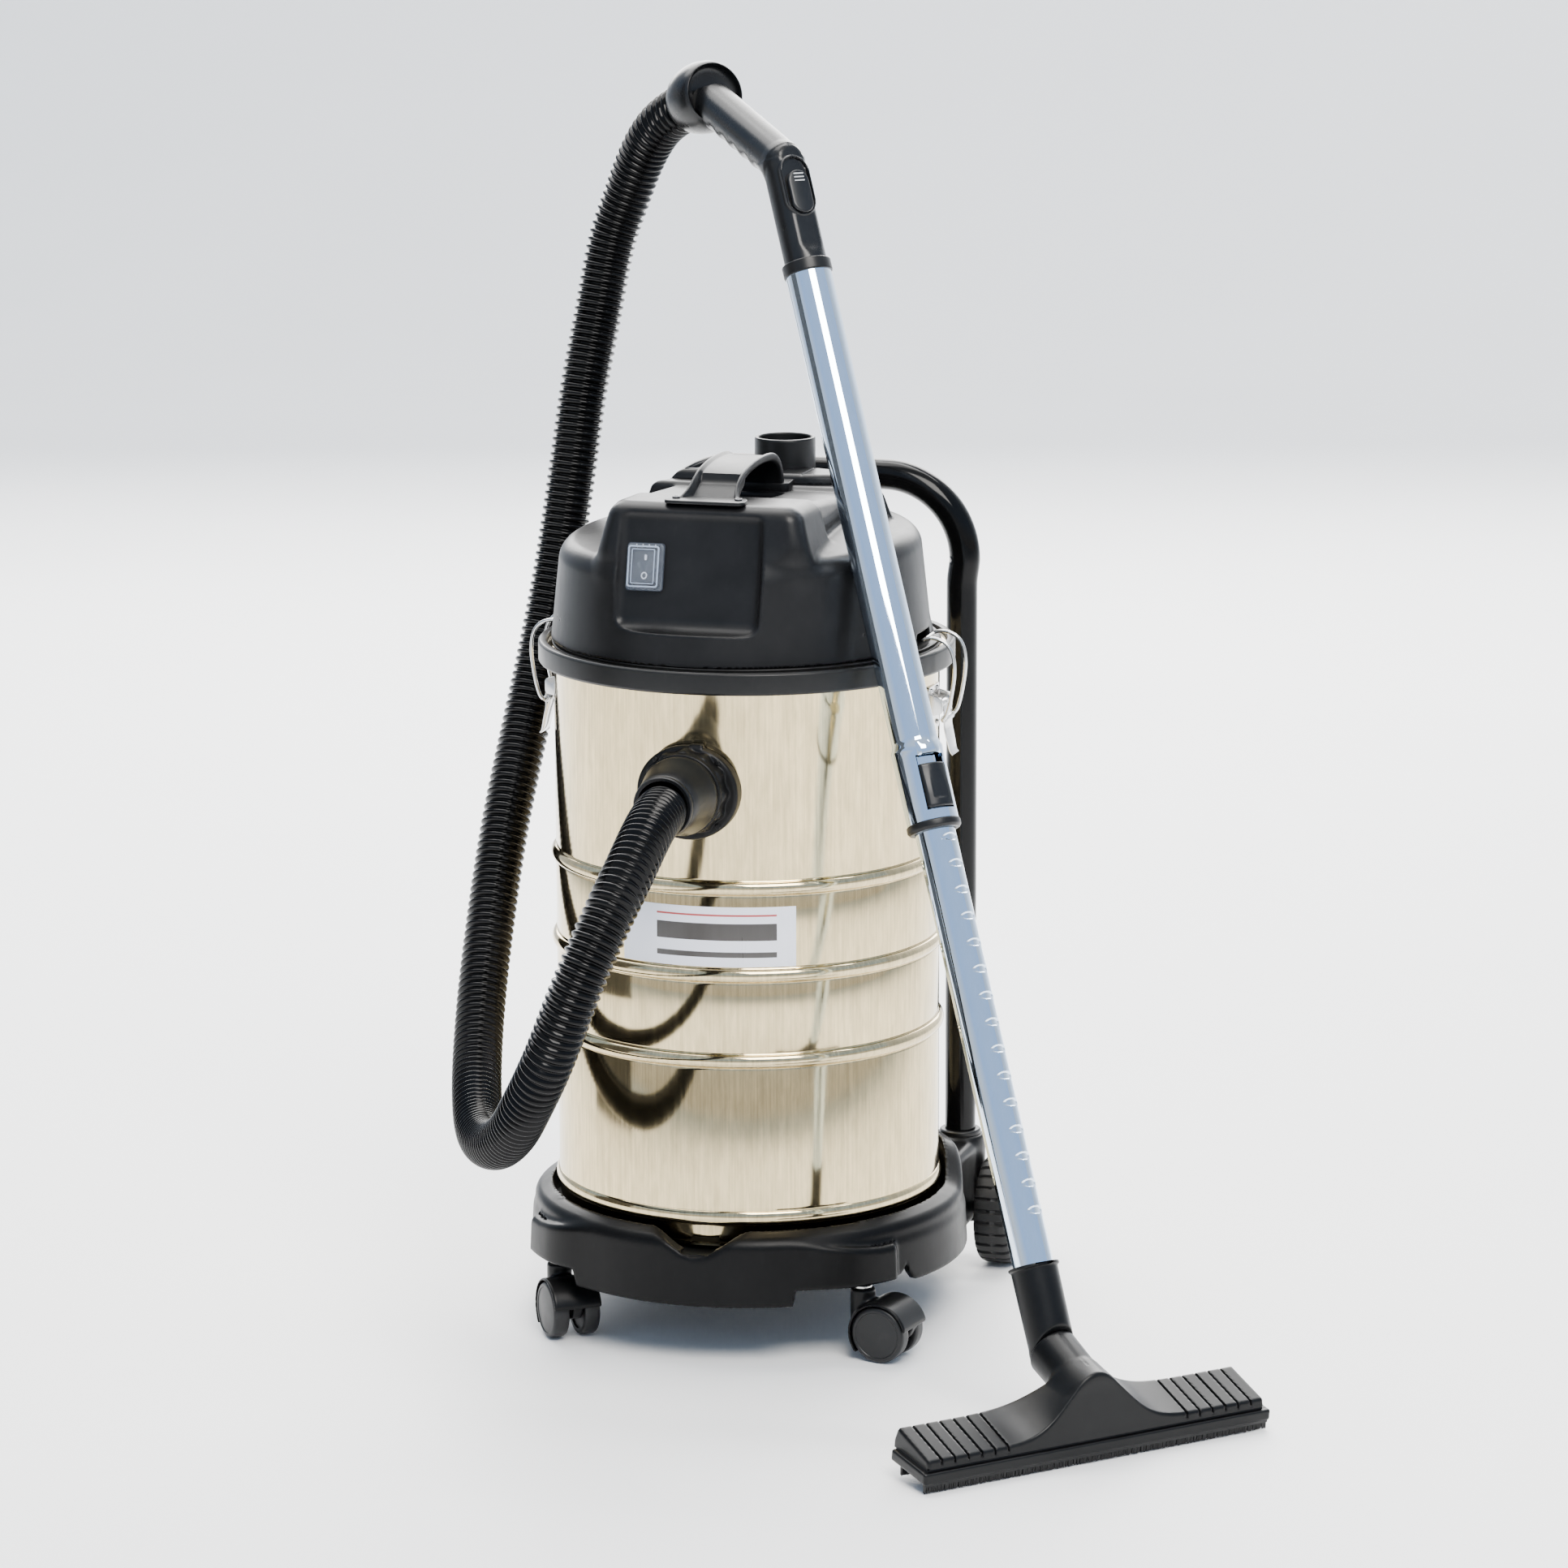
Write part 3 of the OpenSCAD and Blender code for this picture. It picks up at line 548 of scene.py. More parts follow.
def about_line(x, y, z, start, along):
    """How far each point lies along a line from its start, and how far off it."""
    t = (x - start[0]) * along[0] + (y - start[1]) * along[1] + (z - start[2]) * along[2]
    px = x - start[0] - t * along[0]
    py = y - start[1] - t * along[1]
    pz = z - start[2] - t * along[2]
    return t, np.sqrt(px * px + py * py + pz * pz)


def slope(x, a, b):
    """Smooth step from 0 at a to 1 at b."""
    t = np.clip((x - a) / (b - a), 0, 1)
    return t * t * (3 - 2 * t)


CUBE_EDGES = [((0, 0, 0), (1, 0, 0)), ((0, 1, 0), (1, 1, 0)),
              ((0, 0, 1), (1, 0, 1)), ((0, 1, 1), (1, 1, 1)),
              ((0, 0, 0), (0, 1, 0)), ((1, 0, 0), (1, 1, 0)),
              ((0, 0, 1), (0, 1, 1)), ((1, 0, 1), (1, 1, 1)),
              ((0, 0, 0), (0, 0, 1)), ((1, 0, 0), (1, 0, 1)),
              ((0, 1, 0), (0, 1, 1)), ((1, 1, 0), (1, 1, 1))]


def carve(field, lo, hi, h):
    """The surface of a field as a mesh of small quads, drawn tight onto it."""
    lo, hi = np.array(lo, float), np.array(hi, float)
    n = np.ceil((hi - lo) / h).astype(int) + 1
    ax = [lo[i] + h * np.arange(n[i]) for i in range(3)]
    x, y, z = np.meshgrid(*[a.astype(np.float32) for a in ax], indexing="ij", sparse=True)
    f = np.broadcast_to(field(x, y, z), tuple(n)).astype(np.float32)
    inside = f < 0
    count = np.zeros(tuple(n - 1), np.int8)
    for i in (0, 1):
        for j in (0, 1):
            for k in (0, 1):
                count += inside[i:n[0] - 1 + i, j:n[1] - 1 + j, k:n[2] - 1 + k]
    cell = np.argwhere((count > 0) & (count < 8))
    ids = np.full(tuple(n - 1), -1, np.int64)
    ids[tuple(cell.T)] = np.arange(len(cell))
    total = np.zeros((len(cell), 3))
    hits = np.zeros(len(cell))
    for a, b in CUBE_EDGES:
        fa = f[tuple((cell + a).T)].astype(float)
        fb = f[tuple((cell + b).T)].astype(float)
        cross = (fa < 0) != (fb < 0)
        t = np.where(cross, fa / np.where(cross, fa - fb, 1), 0)
        p = np.array(a) + t[:, None] * (np.array(b) - np.array(a))
        total += p * cross[:, None]
        hits += cross
    v = lo + h * (cell + total / hits[:, None])
    probe = 0.05
    for _ in range(3):
        g = np.column_stack([
            field(*(v + np.eye(3)[i] * probe).T) - field(*(v - np.eye(3)[i] * probe).T)
            for i in range(3)]) / (2 * probe)
        d = field(*v.T)
        size = np.maximum((g * g).sum(1), 0.15)
        v = v - np.clip(d / size, -0.4 * h, 0.4 * h)[:, None] * g
    faces = []
    for axis in range(3):
        u, w = [(1, 2), (2, 0), (0, 1)][axis]
        a = [slice(None)] * 3
        b = [slice(None)] * 3
        a[axis], b[axis] = slice(0, -1), slice(1, None)
        spots = np.argwhere(inside[tuple(a)] != inside[tuple(b)])
        ok = (spots[:, u] > 0) & (spots[:, w] > 0)
        ok &= (spots[:, u] < n[u] - 1) & (spots[:, w] < n[w] - 1)
        spots = spots[ok]
        quad = []
        for du, dw in ((0, 0), (-1, 0), (-1, -1), (0, -1)):
            c = spots.copy()
            c[:, u] += du
            c[:, w] += dw
            quad.append(ids[tuple(c.T)])
        quad = np.column_stack(quad)
        outward = inside[tuple(spots.T)]
        quad[~outward] = quad[~outward][:, ::-1]
        faces.append(quad)
    return v, np.concatenate(faces)


def carved(name, field, lo, hi, h, body, mat, replaces=(), at=IDENTITY, sharp=50):
    """One piece made from a field, sampled every h millimetres between lo and hi."""
    v, f = carve(field, lo, hi, h)
    me = bpy.data.meshes.new(name)
    pts = row(place(at, v)).astype(np.float32)
    me.vertices.add(len(pts))
    me.vertices.foreach_set("co", pts.ravel())
    me.loops.add(len(f) * 4)
    me.loops.foreach_set("vertex_index", f.ravel().astype(np.int32))
    me.polygons.add(len(f))
    me.polygons.foreach_set("loop_start", np.arange(0, len(f) * 4, 4, dtype=np.int32))
    me.polygons.foreach_set("use_smooth", [True] * len(f))
    me.update(calc_edges=True)
    me.validate()
    return settle(me, name, body, mat, replaces, sharp)


# ---------------------------------------------------------------- hose

HOSE_D = 44.0
HOSE_ROUTE = [
    [0, -247, 503], [2, -276, 500], [4, -312, 490], [2, -350, 468], [-6, -380, 438],
    [-24, -404, 386], [-50, -402, 322], [-78, -378, 274], [-102, -346, 242],
    [-130, -306, 218], [-158, -260, 208], [-182, -210, 214], [-204, -150, 242],
    [-218, -94, 298], [-224, -42, 374], [-224, -4, 440], [-220, 40, 516],
    [-213, 66, 580], [-204, 88, 656], [-196, 106, 738], [-190, 122, 808],
    [-182, 138, 870], [-172, 150, 936], [-158, 153, 978], [-140, 147, 1018],
    [-118, 134, 1046], [-86, 117, 1066]]


def make_hose():
    """Ring-ribbed hose, from the inlet cuff to the handle's bell."""
    pitch, sides, per = 7.0, 44, 10
    line = even(spline(HOSE_ROUTE, 24), pitch / per)
    for _ in range(160):
        line[1:-1] = (line[:-2] + line[1:-1] * 2 + line[2:]) / 4
    line = even(line, pitch / per)
    phase = 2 * math.pi * np.arange(len(line)) / per
    crest = 0.5 + 0.5 * np.cos(phase)
    rib = 3.1
    radius = HOSE_D / 2 - rib + rib * crest ** 0.6
    v, f = sweep(line, radius, sides)
    hose = mesh("hose", v, f, None, "hose", ("hose_lower", "hose_upper"), sharp=0)
    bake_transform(hose)


make_hose()


# ---------------------------------------------------------------- tank

TANK_R = 170.0
LABEL_Z = (351.0, 404.0)


def bulge(centre, out, half):
    """Points of a rolled bead round the wall, from below to above."""
    return [(TANK_R + out * math.cos(t) ** 1.3, centre + half * math.sin(t))
            for t in np.linspace(-math.pi / 2, math.pi / 2, 15)]


def make_tank():
    """Steel tank with its rolled beads, the black rim ring, and the seal and plate on top."""
    bead_half = 6.2
    wall = [(0, 98), (150, 98), (163, 98.6), (166.5, 101), (168.5, 105), (169.2, 112),
            (169.6, 119)]
    wall += bulge(126.5, 2.6, bead_half) + [(170.2, 134), (TANK_R, 136)]
    for z in (267, 343, 420):
        wall += [(TANK_R, z - bead_half - 2.2), (TANK_R - 0.5, z - bead_half - 0.8)]
        wall += bulge(z, 4.2, bead_half)
        wall += [(TANK_R - 0.5, z + bead_half + 0.8), (TANK_R, z + bead_half + 2.2)]
    wall += [(TANK_R, 598), (TANK_R + 1, 601), (173, 603.6), (175.2, 604.2), (176, 605),
             (175.4, 606), (172, 606), (169.5, 604.5), (168.6, 600), (168.6, 140), (168, 101),
             (0, 101)]
    turned("tank", wall, 256, "machine", "tank", ("tank_shell",), sharp=30,
           closed=False)
    ring = rounded([(170.3, 591), (182.4, 591), (183.6, 593), (183.6, 608.6), (181.8, 610.4),
                    (176.6, 610.4), (176.2, 603.6), (170.3, 603.6)],
                   [0.3, 1, 1.2, 1.6, 1.6, 0.8, 0.4, 0.3], 4)
    turned("tank_rim_ring", ring, 256, "machine", "ring", ("tank_ring",), sharp=50)
    turned("head_seal", rect(160.5, 606.3, 171.6, 608.4, 0.9, 4), 160, "machine", "gasket",
           ("head_gasket",))
    turned("head_plate", rect(32, 608.8, 170, 611.3, 0.6, 3), 160, "machine", "ring",
           ("motor_plate",))


def label_material():
    """A plain pale banner with dark bars and a thin red line, and no lettering."""
    m = Nodes("label print")
    geo = m.put("ShaderNodeSeparateXYZ")
    m.tree.links.new(m.coords, geo.inputs[0])
    up = m.math("DIVIDE", m.math("SUBTRACT", geo.outputs["Z"], LABEL_Z[0] / 1000),
                (LABEL_Z[1] - LABEL_Z[0]) / 1000)
    grain = m.noise(90, 5, 0.6, m.stretch(1, 1, 0.1))
    paper, ink = (0.80, 0.82, 0.90), (0.045, 0.040, 0.036)
    bars = m.ramp(up, [(0.0, paper), (0.16, ink), (0.25, paper), (0.44, ink), (0.72, paper),
                       (0.84, (0.42, 0.05, 0.05)), (0.875, paper)])
    bars.node.color_ramp.interpolation = "CONSTANT"
    bar_centre, bar_half = -0.141, 0.052
    off_centre = m.math("ABSOLUTE", m.math("ADD", geo.outputs["X"], -bar_centre))
    inked = m.math("LESS_THAN", off_centre, bar_half)
    printed = m.mix(m.span(grain, 0.0, 0.02), m.mix(inked, paper, bars), (0.6, 0.6, 0.64))
    return m.set(color=printed, rough=m.span(grain, 0.24, 0.36), spec=0.5,
                 normal=m.bump(grain, 0.1, 0.00005))


def make_label():
    """The label, wrapped round the front of the wall between two beads."""
    outer, inner = 170.55, 170.1
    low, high = LABEL_Z
    edge = rounded([(inner, low), (outer, low), (outer, high), (inner, high)],
                   [0, 0.2, 0.2, 0], 3)
    rings = [around(a, edge) for a in np.radians(np.linspace(-112, -59, 60))]
    v, f = loft(rings)
    mesh("tank_label_sticker", v, f, "machine", label_material(), ("tank_label",),
         sharp=60)


# ---------------------------------------------------------------- suction inlet

INLET_Z = 506.0
INLET = move(0, 0, INLET_Z) @ turn("X", 90)


def flange_field(x, y, z):
    """Flange a little wider than tall, hugging the tank, with a lobed boss and a tab.

    y runs up and z out of the tank.
    """
    half_wide, squash, drop = 45.2, 1.1, 1.5
    r = np.hypot(x, y)
    disc = both(np.hypot(x, (y + drop) * squash) - half_wide, z - 178.5, 3.0)
    lobes = 36.2 + 1.3 * np.cos(12 * np.arctan2(y, x))
    boss = both(r - lobes - (186 - z) * 0.10, z - 189, 2.0)
    collar = both(r - 35.2, z - 194, 1.6)
    tab = box(x, y, z, 8, 36, 171, 6, 5.0, 6, 2)
    out = union(union(union(disc, boss, 1.2), collar, 1.5), tab, 1.5)
    tank = 170.5 - np.sqrt(x * x + z * z)
    out = both(out, tank)
    return minus(out, r - 28.4, 0.5)


def make_inlet():
    """The flange, its four screws, and the cone-shaped cuff that holds the hose."""
    carved("inlet_flange_disc", flange_field, (-50, -50, 150), (50, 54, 200), 1.1, "machine",
           "flange", ("inlet_flange",), INLET)
    heap = Heap()
    screw_circle, screw_drop = 39.2, 1.2
    for a in np.radians((45, 135, 225, 315)):
        head = rounded([(0, 178.6), (2.4, 178.6), (2.4, 179.8), (1.7, 180.3), (0, 180.3)],
                       [0, 0, 0.5, 0.4, 0], 3)
        heap.add(*lathe(head, 24), move(screw_circle * math.cos(a),
                                        screw_circle * math.sin(a) - screw_drop, -0.4))
    heap.make("inlet_screw_heads", "machine", "flange", "steel", ("inlet_screws",), INLET)
    cone = [(22.4, 244), (22.6, 246.6), (25.2, 246.9), (26.1, 245.6), (26.2, 243.2), (25.9, 241.5),
            (26.6, 240.2), (28.4, 230), (30.6, 217), (32.2, 208), (33.4, 203.4), (34.0, 201.2),
            (34.0, 196.6), (33.2, 194.8), (28.1, 194.4), (28.1, 173), (24, 173), (22.4, 200)]
    turned("inlet_cuff_cone", cone, 96, "machine", "cuff", ("inlet_cuff",), INLET,
           sharp=35)


# ---------------------------------------------------------------- head

HEAD_C = (-4.3, -1.3)
HEAD_R, HEAD_Z, HEAD_TAPER = 167.6, 611.6, 0.1077
FACE_TILT = math.radians(FACE_LEAN)
PORT_Y = 120
SWITCH_X = -48


def dome_field(x, y, z):
    """The head's round wall, tapering upwards, under its gently sloping crown."""
    r = np.hypot(x - HEAD_C[0], y - HEAD_C[1])
    a = math.atan2(HEAD_R - 158.4, 697 - HEAD_Z)
    wall = (r - HEAD_R) * math.cos(a) + (z - HEAD_Z) * math.sin(a)
    crown = z - (704.5 + 0.02 * x + 0.05 * y + 0.16 * (146 - r))
    return both(wall, crown * 0.98, 13)


def front_y(x, z):
    """The front of the control box: flat at the top, round like the wall below."""
    flat = FACE_Y - (BOX_TOP - z) * math.tan(FACE_TILT)
    r = HEAD_R - (z - HEAD_Z) * HEAD_TAPER
    wall = HEAD_C[1] - np.sqrt(np.maximum(r * r - (x - HEAD_C[0]) ** 2, 900))
    w = 1 - slope(z, 650, 738)
    return flat * (1 - w) + wall * w


def head_field(x, y, z):
    """Motor head: round wall, raised control box, bevelled rear deck, grip scoop."""
    dome = both(dome_field(x, y, z), 611.7 - z, 1.0)
    drop = BOX_TOP - z
    into_face = (y - FACE_Y) * math.cos(FACE_TILT) + drop * math.sin(FACE_TILT)
    side = 84.5 + drop * 0.27
    front = (front_y(x, z) - y) * 0.93
    low = 1 - slope(z, 652, 704)
    dome = minus(dome, np.maximum(4 * low - front, np.abs(x) - 82), 3)
    r = np.hypot(x - HEAD_C[0], y - HEAD_C[1])
    block = both(np.abs(x) - side, front + 9 * low, 14)
    block = both(block, z - BOX_TOP + 0.02 * (y + 128), 12)
    round_wall = r - HEAD_R + (z - HEAD_Z) * HEAD_TAPER
    block = both(block, round_wall - 1.5 - 14 * slope(z, 690, 740), 6)
    block = both(block, y + 58, 10)
    block = both(block, 640 - z)
    chamfer = (x - 86) * 0.80 + (z - 725 - 0.04 * (y + 100)) * 0.60
    rear_side = both(np.maximum(-(x + 84), x - 87.5), chamfer, 2.5)
    deck = both(rear_side, z - (742 - 0.06 * (y + 95)), 5)
    deck = both(deck, np.maximum(-(y + 110), y - 74), 4)
    rear_r = np.hypot(x - 3, y) - (119 - (z - 736) * 0.35)
    rear = both(both(rear_r, 50 - y, 6), z - 737, 6)
    body = union(union(dome, block, 6), union(deck, rear, 3), 4)
    body = minus(body, box(x, into_face, z, -8.5, -26, 690.5, 67, 29.2, 51.5, 11), 1.6)
    body = minus(body, box(x, y, z, 0, -4, 765, 27, 34, 47, 12), 3)
    for s in (-1, 1):
        body = minus(body, box(x, y, z, s * 172, 0, 617.4, 15, 21, 5.2, 2), 1)
    body = minus(body, box(x, into_face, z, SWITCH_X, 2, 692.3, 12.9, 12, 16.8, 0.5), 0.4)
    body = minus(body, np.maximum(np.hypot(x, y - PORT_Y) - 27.6, 696 - z))
    hollow = both(r - 163, z - 640 + 14 * slope(-y, 96, 118), 6)
    return minus(body, np.maximum(hollow, 600 - z))


def cover_field(x, y, z):
    """Rear exhaust cover with its rolled front edge and a seam."""
    r = np.hypot(x - 3, y)
    wall = r - (118.5 - (z - 737) * 0.5)
    front = 62 + 6 * slope(abs(x - 5), 30, 60) - y + (z - 737) * 0.35
    body = both(both(wall, front, 5), z - 745.5, 4)
    body = both(body, 737.2 - z, 0.6)
    body = minus(body, np.hypot(x, y - PORT_Y) - 28.3, 1.0)
    seam = np.maximum(abs(x - 31) - 0.5, 743.9 - z)
    body = minus(body, seam, 0.4)
    grille = np.maximum(abs(x + 62) - 18, abs(y - 84) - 10.4)
    slots = np.maximum(abs((y - 84) % 7 - 3.5) - 1.3, grille)
    return minus(body, np.maximum(slots, 742 - z), 0.3)


def make_carry_handle():
    """Flat strap with raised side edges and a trough in front, on its base plates."""
    line = spline([(0, y, z) for y, z in (
        (-113, 746.5), (-106, 748.6), (-97, 753.6), (-84, 760.6), (-66, 766.4), (-42, 769.8),
        (-16, 770.8), (8, 769.6), (24, 765.4), (34, 758), (39.5, 748), (42, 738))], 6)
    t = np.gradient(line, axis=0)
    t /= np.linalg.norm(t, axis=1)[:, None]
    nrm = np.cross(np.array([1.0, 0, 0]), t)
    half = 20.5
    right = [(half + 1, -4.6), (half + 1.6, 2.4), (half - 0.6, 3.2), (half - 3.4, 0.6)]
    left = [(-x, z) for x, z in reversed(right)]
    sec = rounded([left[-1]] + right + left[:-1], [2.6, 2.6, 1.4, 1.4, 1.6, 1.6, 1.4, 1.4], 4)
    widen = 1 + 0.26 * np.exp(-((line[:, 1] + 114) / 13.0) ** 2)
    deep = 6.0 * slope(-line[:, 1], 73, 78) * slope(line[:, 1], -111, -107)
    middle = (sec[:, 1] > -1) & (np.abs(sec[:, 0]) < half - 2.6)
    under = sec[:, 1] < -1
    rings = []
    for i, p in enumerate(line):
        high = sec[:, 1] - deep[i] * middle - 0.7 * deep[i] * under
        rings.append(p + sec[:, :1] * widen[i] * np.array([1.0, 0, 0]) + high[:, None] * nrm[i])
    heap = Heap().add(*loft(rings))
    base = rounded([(-37, -128), (37, -128), (33, -99), (-33, -99)], [7, 7, 12, 12], 6)
    heap.add(*slab(base, 745.9, 749.0, 0.9))
    heap.add(*slab(rounded([(-27, 36), (27, 36), (25, 72), (-25, 72)], 6, 5), 733, 741.6, 1.2))
    heap.make("carry_grip", "machine", "head", "head_plastic", ("carry_handle",), sharp=45)
    heap = Heap()
    for x in (-28, 28):
        prof = rounded([(1.2, 0), (3.4, 0), (3.4, 1.2), (2.2, 1.7), (1.2, 0.8)],
                       [0, 0, 0.5, 0.4, 0.2], 3)
        heap.add(*lathe(prof, 24, closed=True), move(x, -114, 749.1))
    heap.make("grip_screw_heads", "machine", "screw", "steel", ("handle_screws",))


def make_head():
    """The motor head's shell, rear cover, blower socket, carrying strap and cord gland."""
    carved("head_shell", head_field, (-176, -176, 608), (170, 172, 752), 1.7, "machine",
           "head", ("head_cover",), sharp=55)
    carved("rear_cover", cover_field, (-124, 48, 734), (128, 124, 749), 1.2, "machine",
           "head", ("exhaust_cover",))
    port = rounded([(23.75, 700), (29.2, 700), (29.2, 703), (27.4, 704), (27.3, 769.4), (26.6, 771),
                    (24.6, 771), (23.75, 769.8)], [0.2, 0.6, 0.6, 0.6, 0.9, 0.8, 0.5, 0.5], 4)
    turned("blower_socket", port, 96, "machine", "ring", ("blower_port",),
           move(0, PORT_Y, 0), sharp=50)
    make_carry_handle()
    gland = turn("Z", 118) @ move(160, 0, 650) @ turn("Y", 90)
    prof = [(4, -11), (7.8, -11), (7.8, 4.5), (10.4, 4.5), (11, 5.1), (11, 8.6), (10.2, 9.4)]
    for k in range(4):
        z, fat, thin = 10 + k * 5, 7.9 - k * 0.45, 6.4 - k * 0.4
        prof += [(fat, z), (fat, z + 3), (thin, z + 3.4), (thin, z + 4.6)]
    prof += [(6.0, 31), (4, 31.4)]
    turned("cord_gland", prof, 48, "machine", "gasket", ("cable_gland",), gland)


# ---------------------------------------------------------------- switch

def glossy(name, tone, rough):
    """Smoother moulded plastic, for the small parts of the switch."""
    return moulded(name, tone, rough, 800, 0.00002, 0.5, 0.12)


def boot_material():
    """The switch's clear splash boot: hazy, slightly blue and see-through."""
    m = Nodes("clear boot")
    haze = m.noise(40, 4, 0.6)
    tone = m.ramp(haze, [(0.3, (0.80, 0.86, 0.96)), (0.7, (0.90, 0.94, 1.0))])
    return m.set(color=tone, rough=m.span(haze, 0.10, 0.16), clear=0.9, ior=1.2, alpha=0.4,
                 spec=0.4, normal=m.bump(haze, 0.02, 0.00002))


def make_switch():
    """Rocker switch on the control panel: bezel, cap with its marks, and splash boot."""
    MATS["rocker"] = glossy("rocker plastic", (0.030, 0.035, 0.045), 0.22)
    MATS["mark"] = glossy("switch marks", (0.62, 0.64, 0.68), 0.35)
    MATS["boot"] = boot_material()
    # The boot rim colour is a painted highlight for the clear boot's bright outline.
    MATS["rim"] = glossy("boot rim painted highlight", (0.27, 0.33, 0.43), 0.25)
    face_up = FACE @ move(SWITCH_X, 0, -55) @ turn("X", 90)
    frame_out = rect(-16.8, -20.8, 16.8, 20.8, 3)
    frame_in = rect(-12.2, -16.4, 12.2, 16.4, 1.2)
    v, f = loft([level(frame_in, -1.7), level(frame_out, -1.7), level(frame_out, -0.3),
                 level(frame_out * 0.985, 0.15), level(frame_in * 1.03, 0.15),
                 level(frame_in, -0.2)], looped=True)
    mesh("switch_bezel", v, f, "machine", "rocker", ("switch_frame",), face_up)
    rock = FACE @ move(SWITCH_X, 4, -55) @ turn("X", -7)
    side = [(-3.9, 14.4), (-4.9, 13.8)]
    side += [(-4.9 + 1.2 * math.cos(t * math.pi / 2), 13.0 * t)
             for t in np.linspace(0.98, -0.98, 17)]
    side += [(-4.9, -13.8), (-3.9, -14.4), (2, -14.4), (2, 14.4)]
    outline = np.array(side)
    rings = []
    for x, grow in ((-11.6, -0.5), (-11.2, 0.0), (11.2, 0.0), (11.6, -0.5)):
        o = outline * (1 + grow / 15)
        rings.append(np.column_stack([np.full(len(o), x), o]))
    v, f = loft(rings)
    mesh("rocker_cap", v, f, "rocker", "rocker", ("switch_rocker",), rock)
    heap = Heap().add(*slab(rect(-0.9, 5.3, 0.9, 9.9, 0.4, 3), 0, 0.25),
                      move(0, -4.55, 0) @ turn("X", 90))
    ring = np.array([(2.6 * math.cos(t), 3.1 * math.sin(t))
                     for t in np.linspace(0, 2 * math.pi, 28, endpoint=False)])
    loops = [level(ring * k, z) for k, z in ((1, 0), (1, 0.25), (0.7, 0.25), (0.7, 0))]
    heap.add(*loft(loops, looped=True), move(0, -4.55, -8.2) @ turn("X", 90))
    heap.make("rocker_marks", "rocker", "mark", "switch", (), rock)
    ticks = Heap()
    for x in (-8.5, -2.8, 2.8, 8.5):
        ticks.add(*slab([(x - 0.35, 17.3), (x + 0.35, 17.3), (x + 0.35, 19.3), (x - 0.35, 19.3)],
                        0.16, 0.3))
    ticks.make("bezel_ticks", "machine", "mark", "head_plastic", (), face_up)
    outer = rect(-16, -20, 16, 20, 3.2)
    shell = ((1.00, 0.35), (1.00, 1.1), (0.93, 1.5), (0.90, 4.9), (0.87, 6.2), (0.80, 6.9),
             (0.02, 6.95), (0.02, 6.0), (0.76, 5.95), (0.83, 5.3), (0.855, 4.5), (0.88, 0.9),
             (0.88, 0.35))
    v, f = loft([level(outer * grow, z) for grow, z in shell], looped=True)
    mesh("switch_clear_boot", v, f, "machine", "boot", ("switch_boot",), face_up,
         sharp=50)
    # Two pale rings along the boot's shoulder and top: painted highlight for the clear boot's
    # bright edges.
    heap = Heap()
    for wide, tall, thick, radius, z in ((13.9, 17.9, 1.3, 2.6, 5.9), (10.4, 15.0, 0.7, 1.2, 6.6)):
        loops = []
        for inset, dz in ((0, 0), (0, 0.6), (thick, 0.6), (thick, 0)):
            w, t = wide - inset, tall - inset
            loops.append(level(rect(-w, -t, w, t, max(radius - inset, 0.4)), z + dz))
        heap.add(*loft(loops, looped=True))
    heap.make("switch_boot_highlight_rims", "machine", "rim", "clear_boot", (), face_up)


# ---------------------------------------------------------------- latches

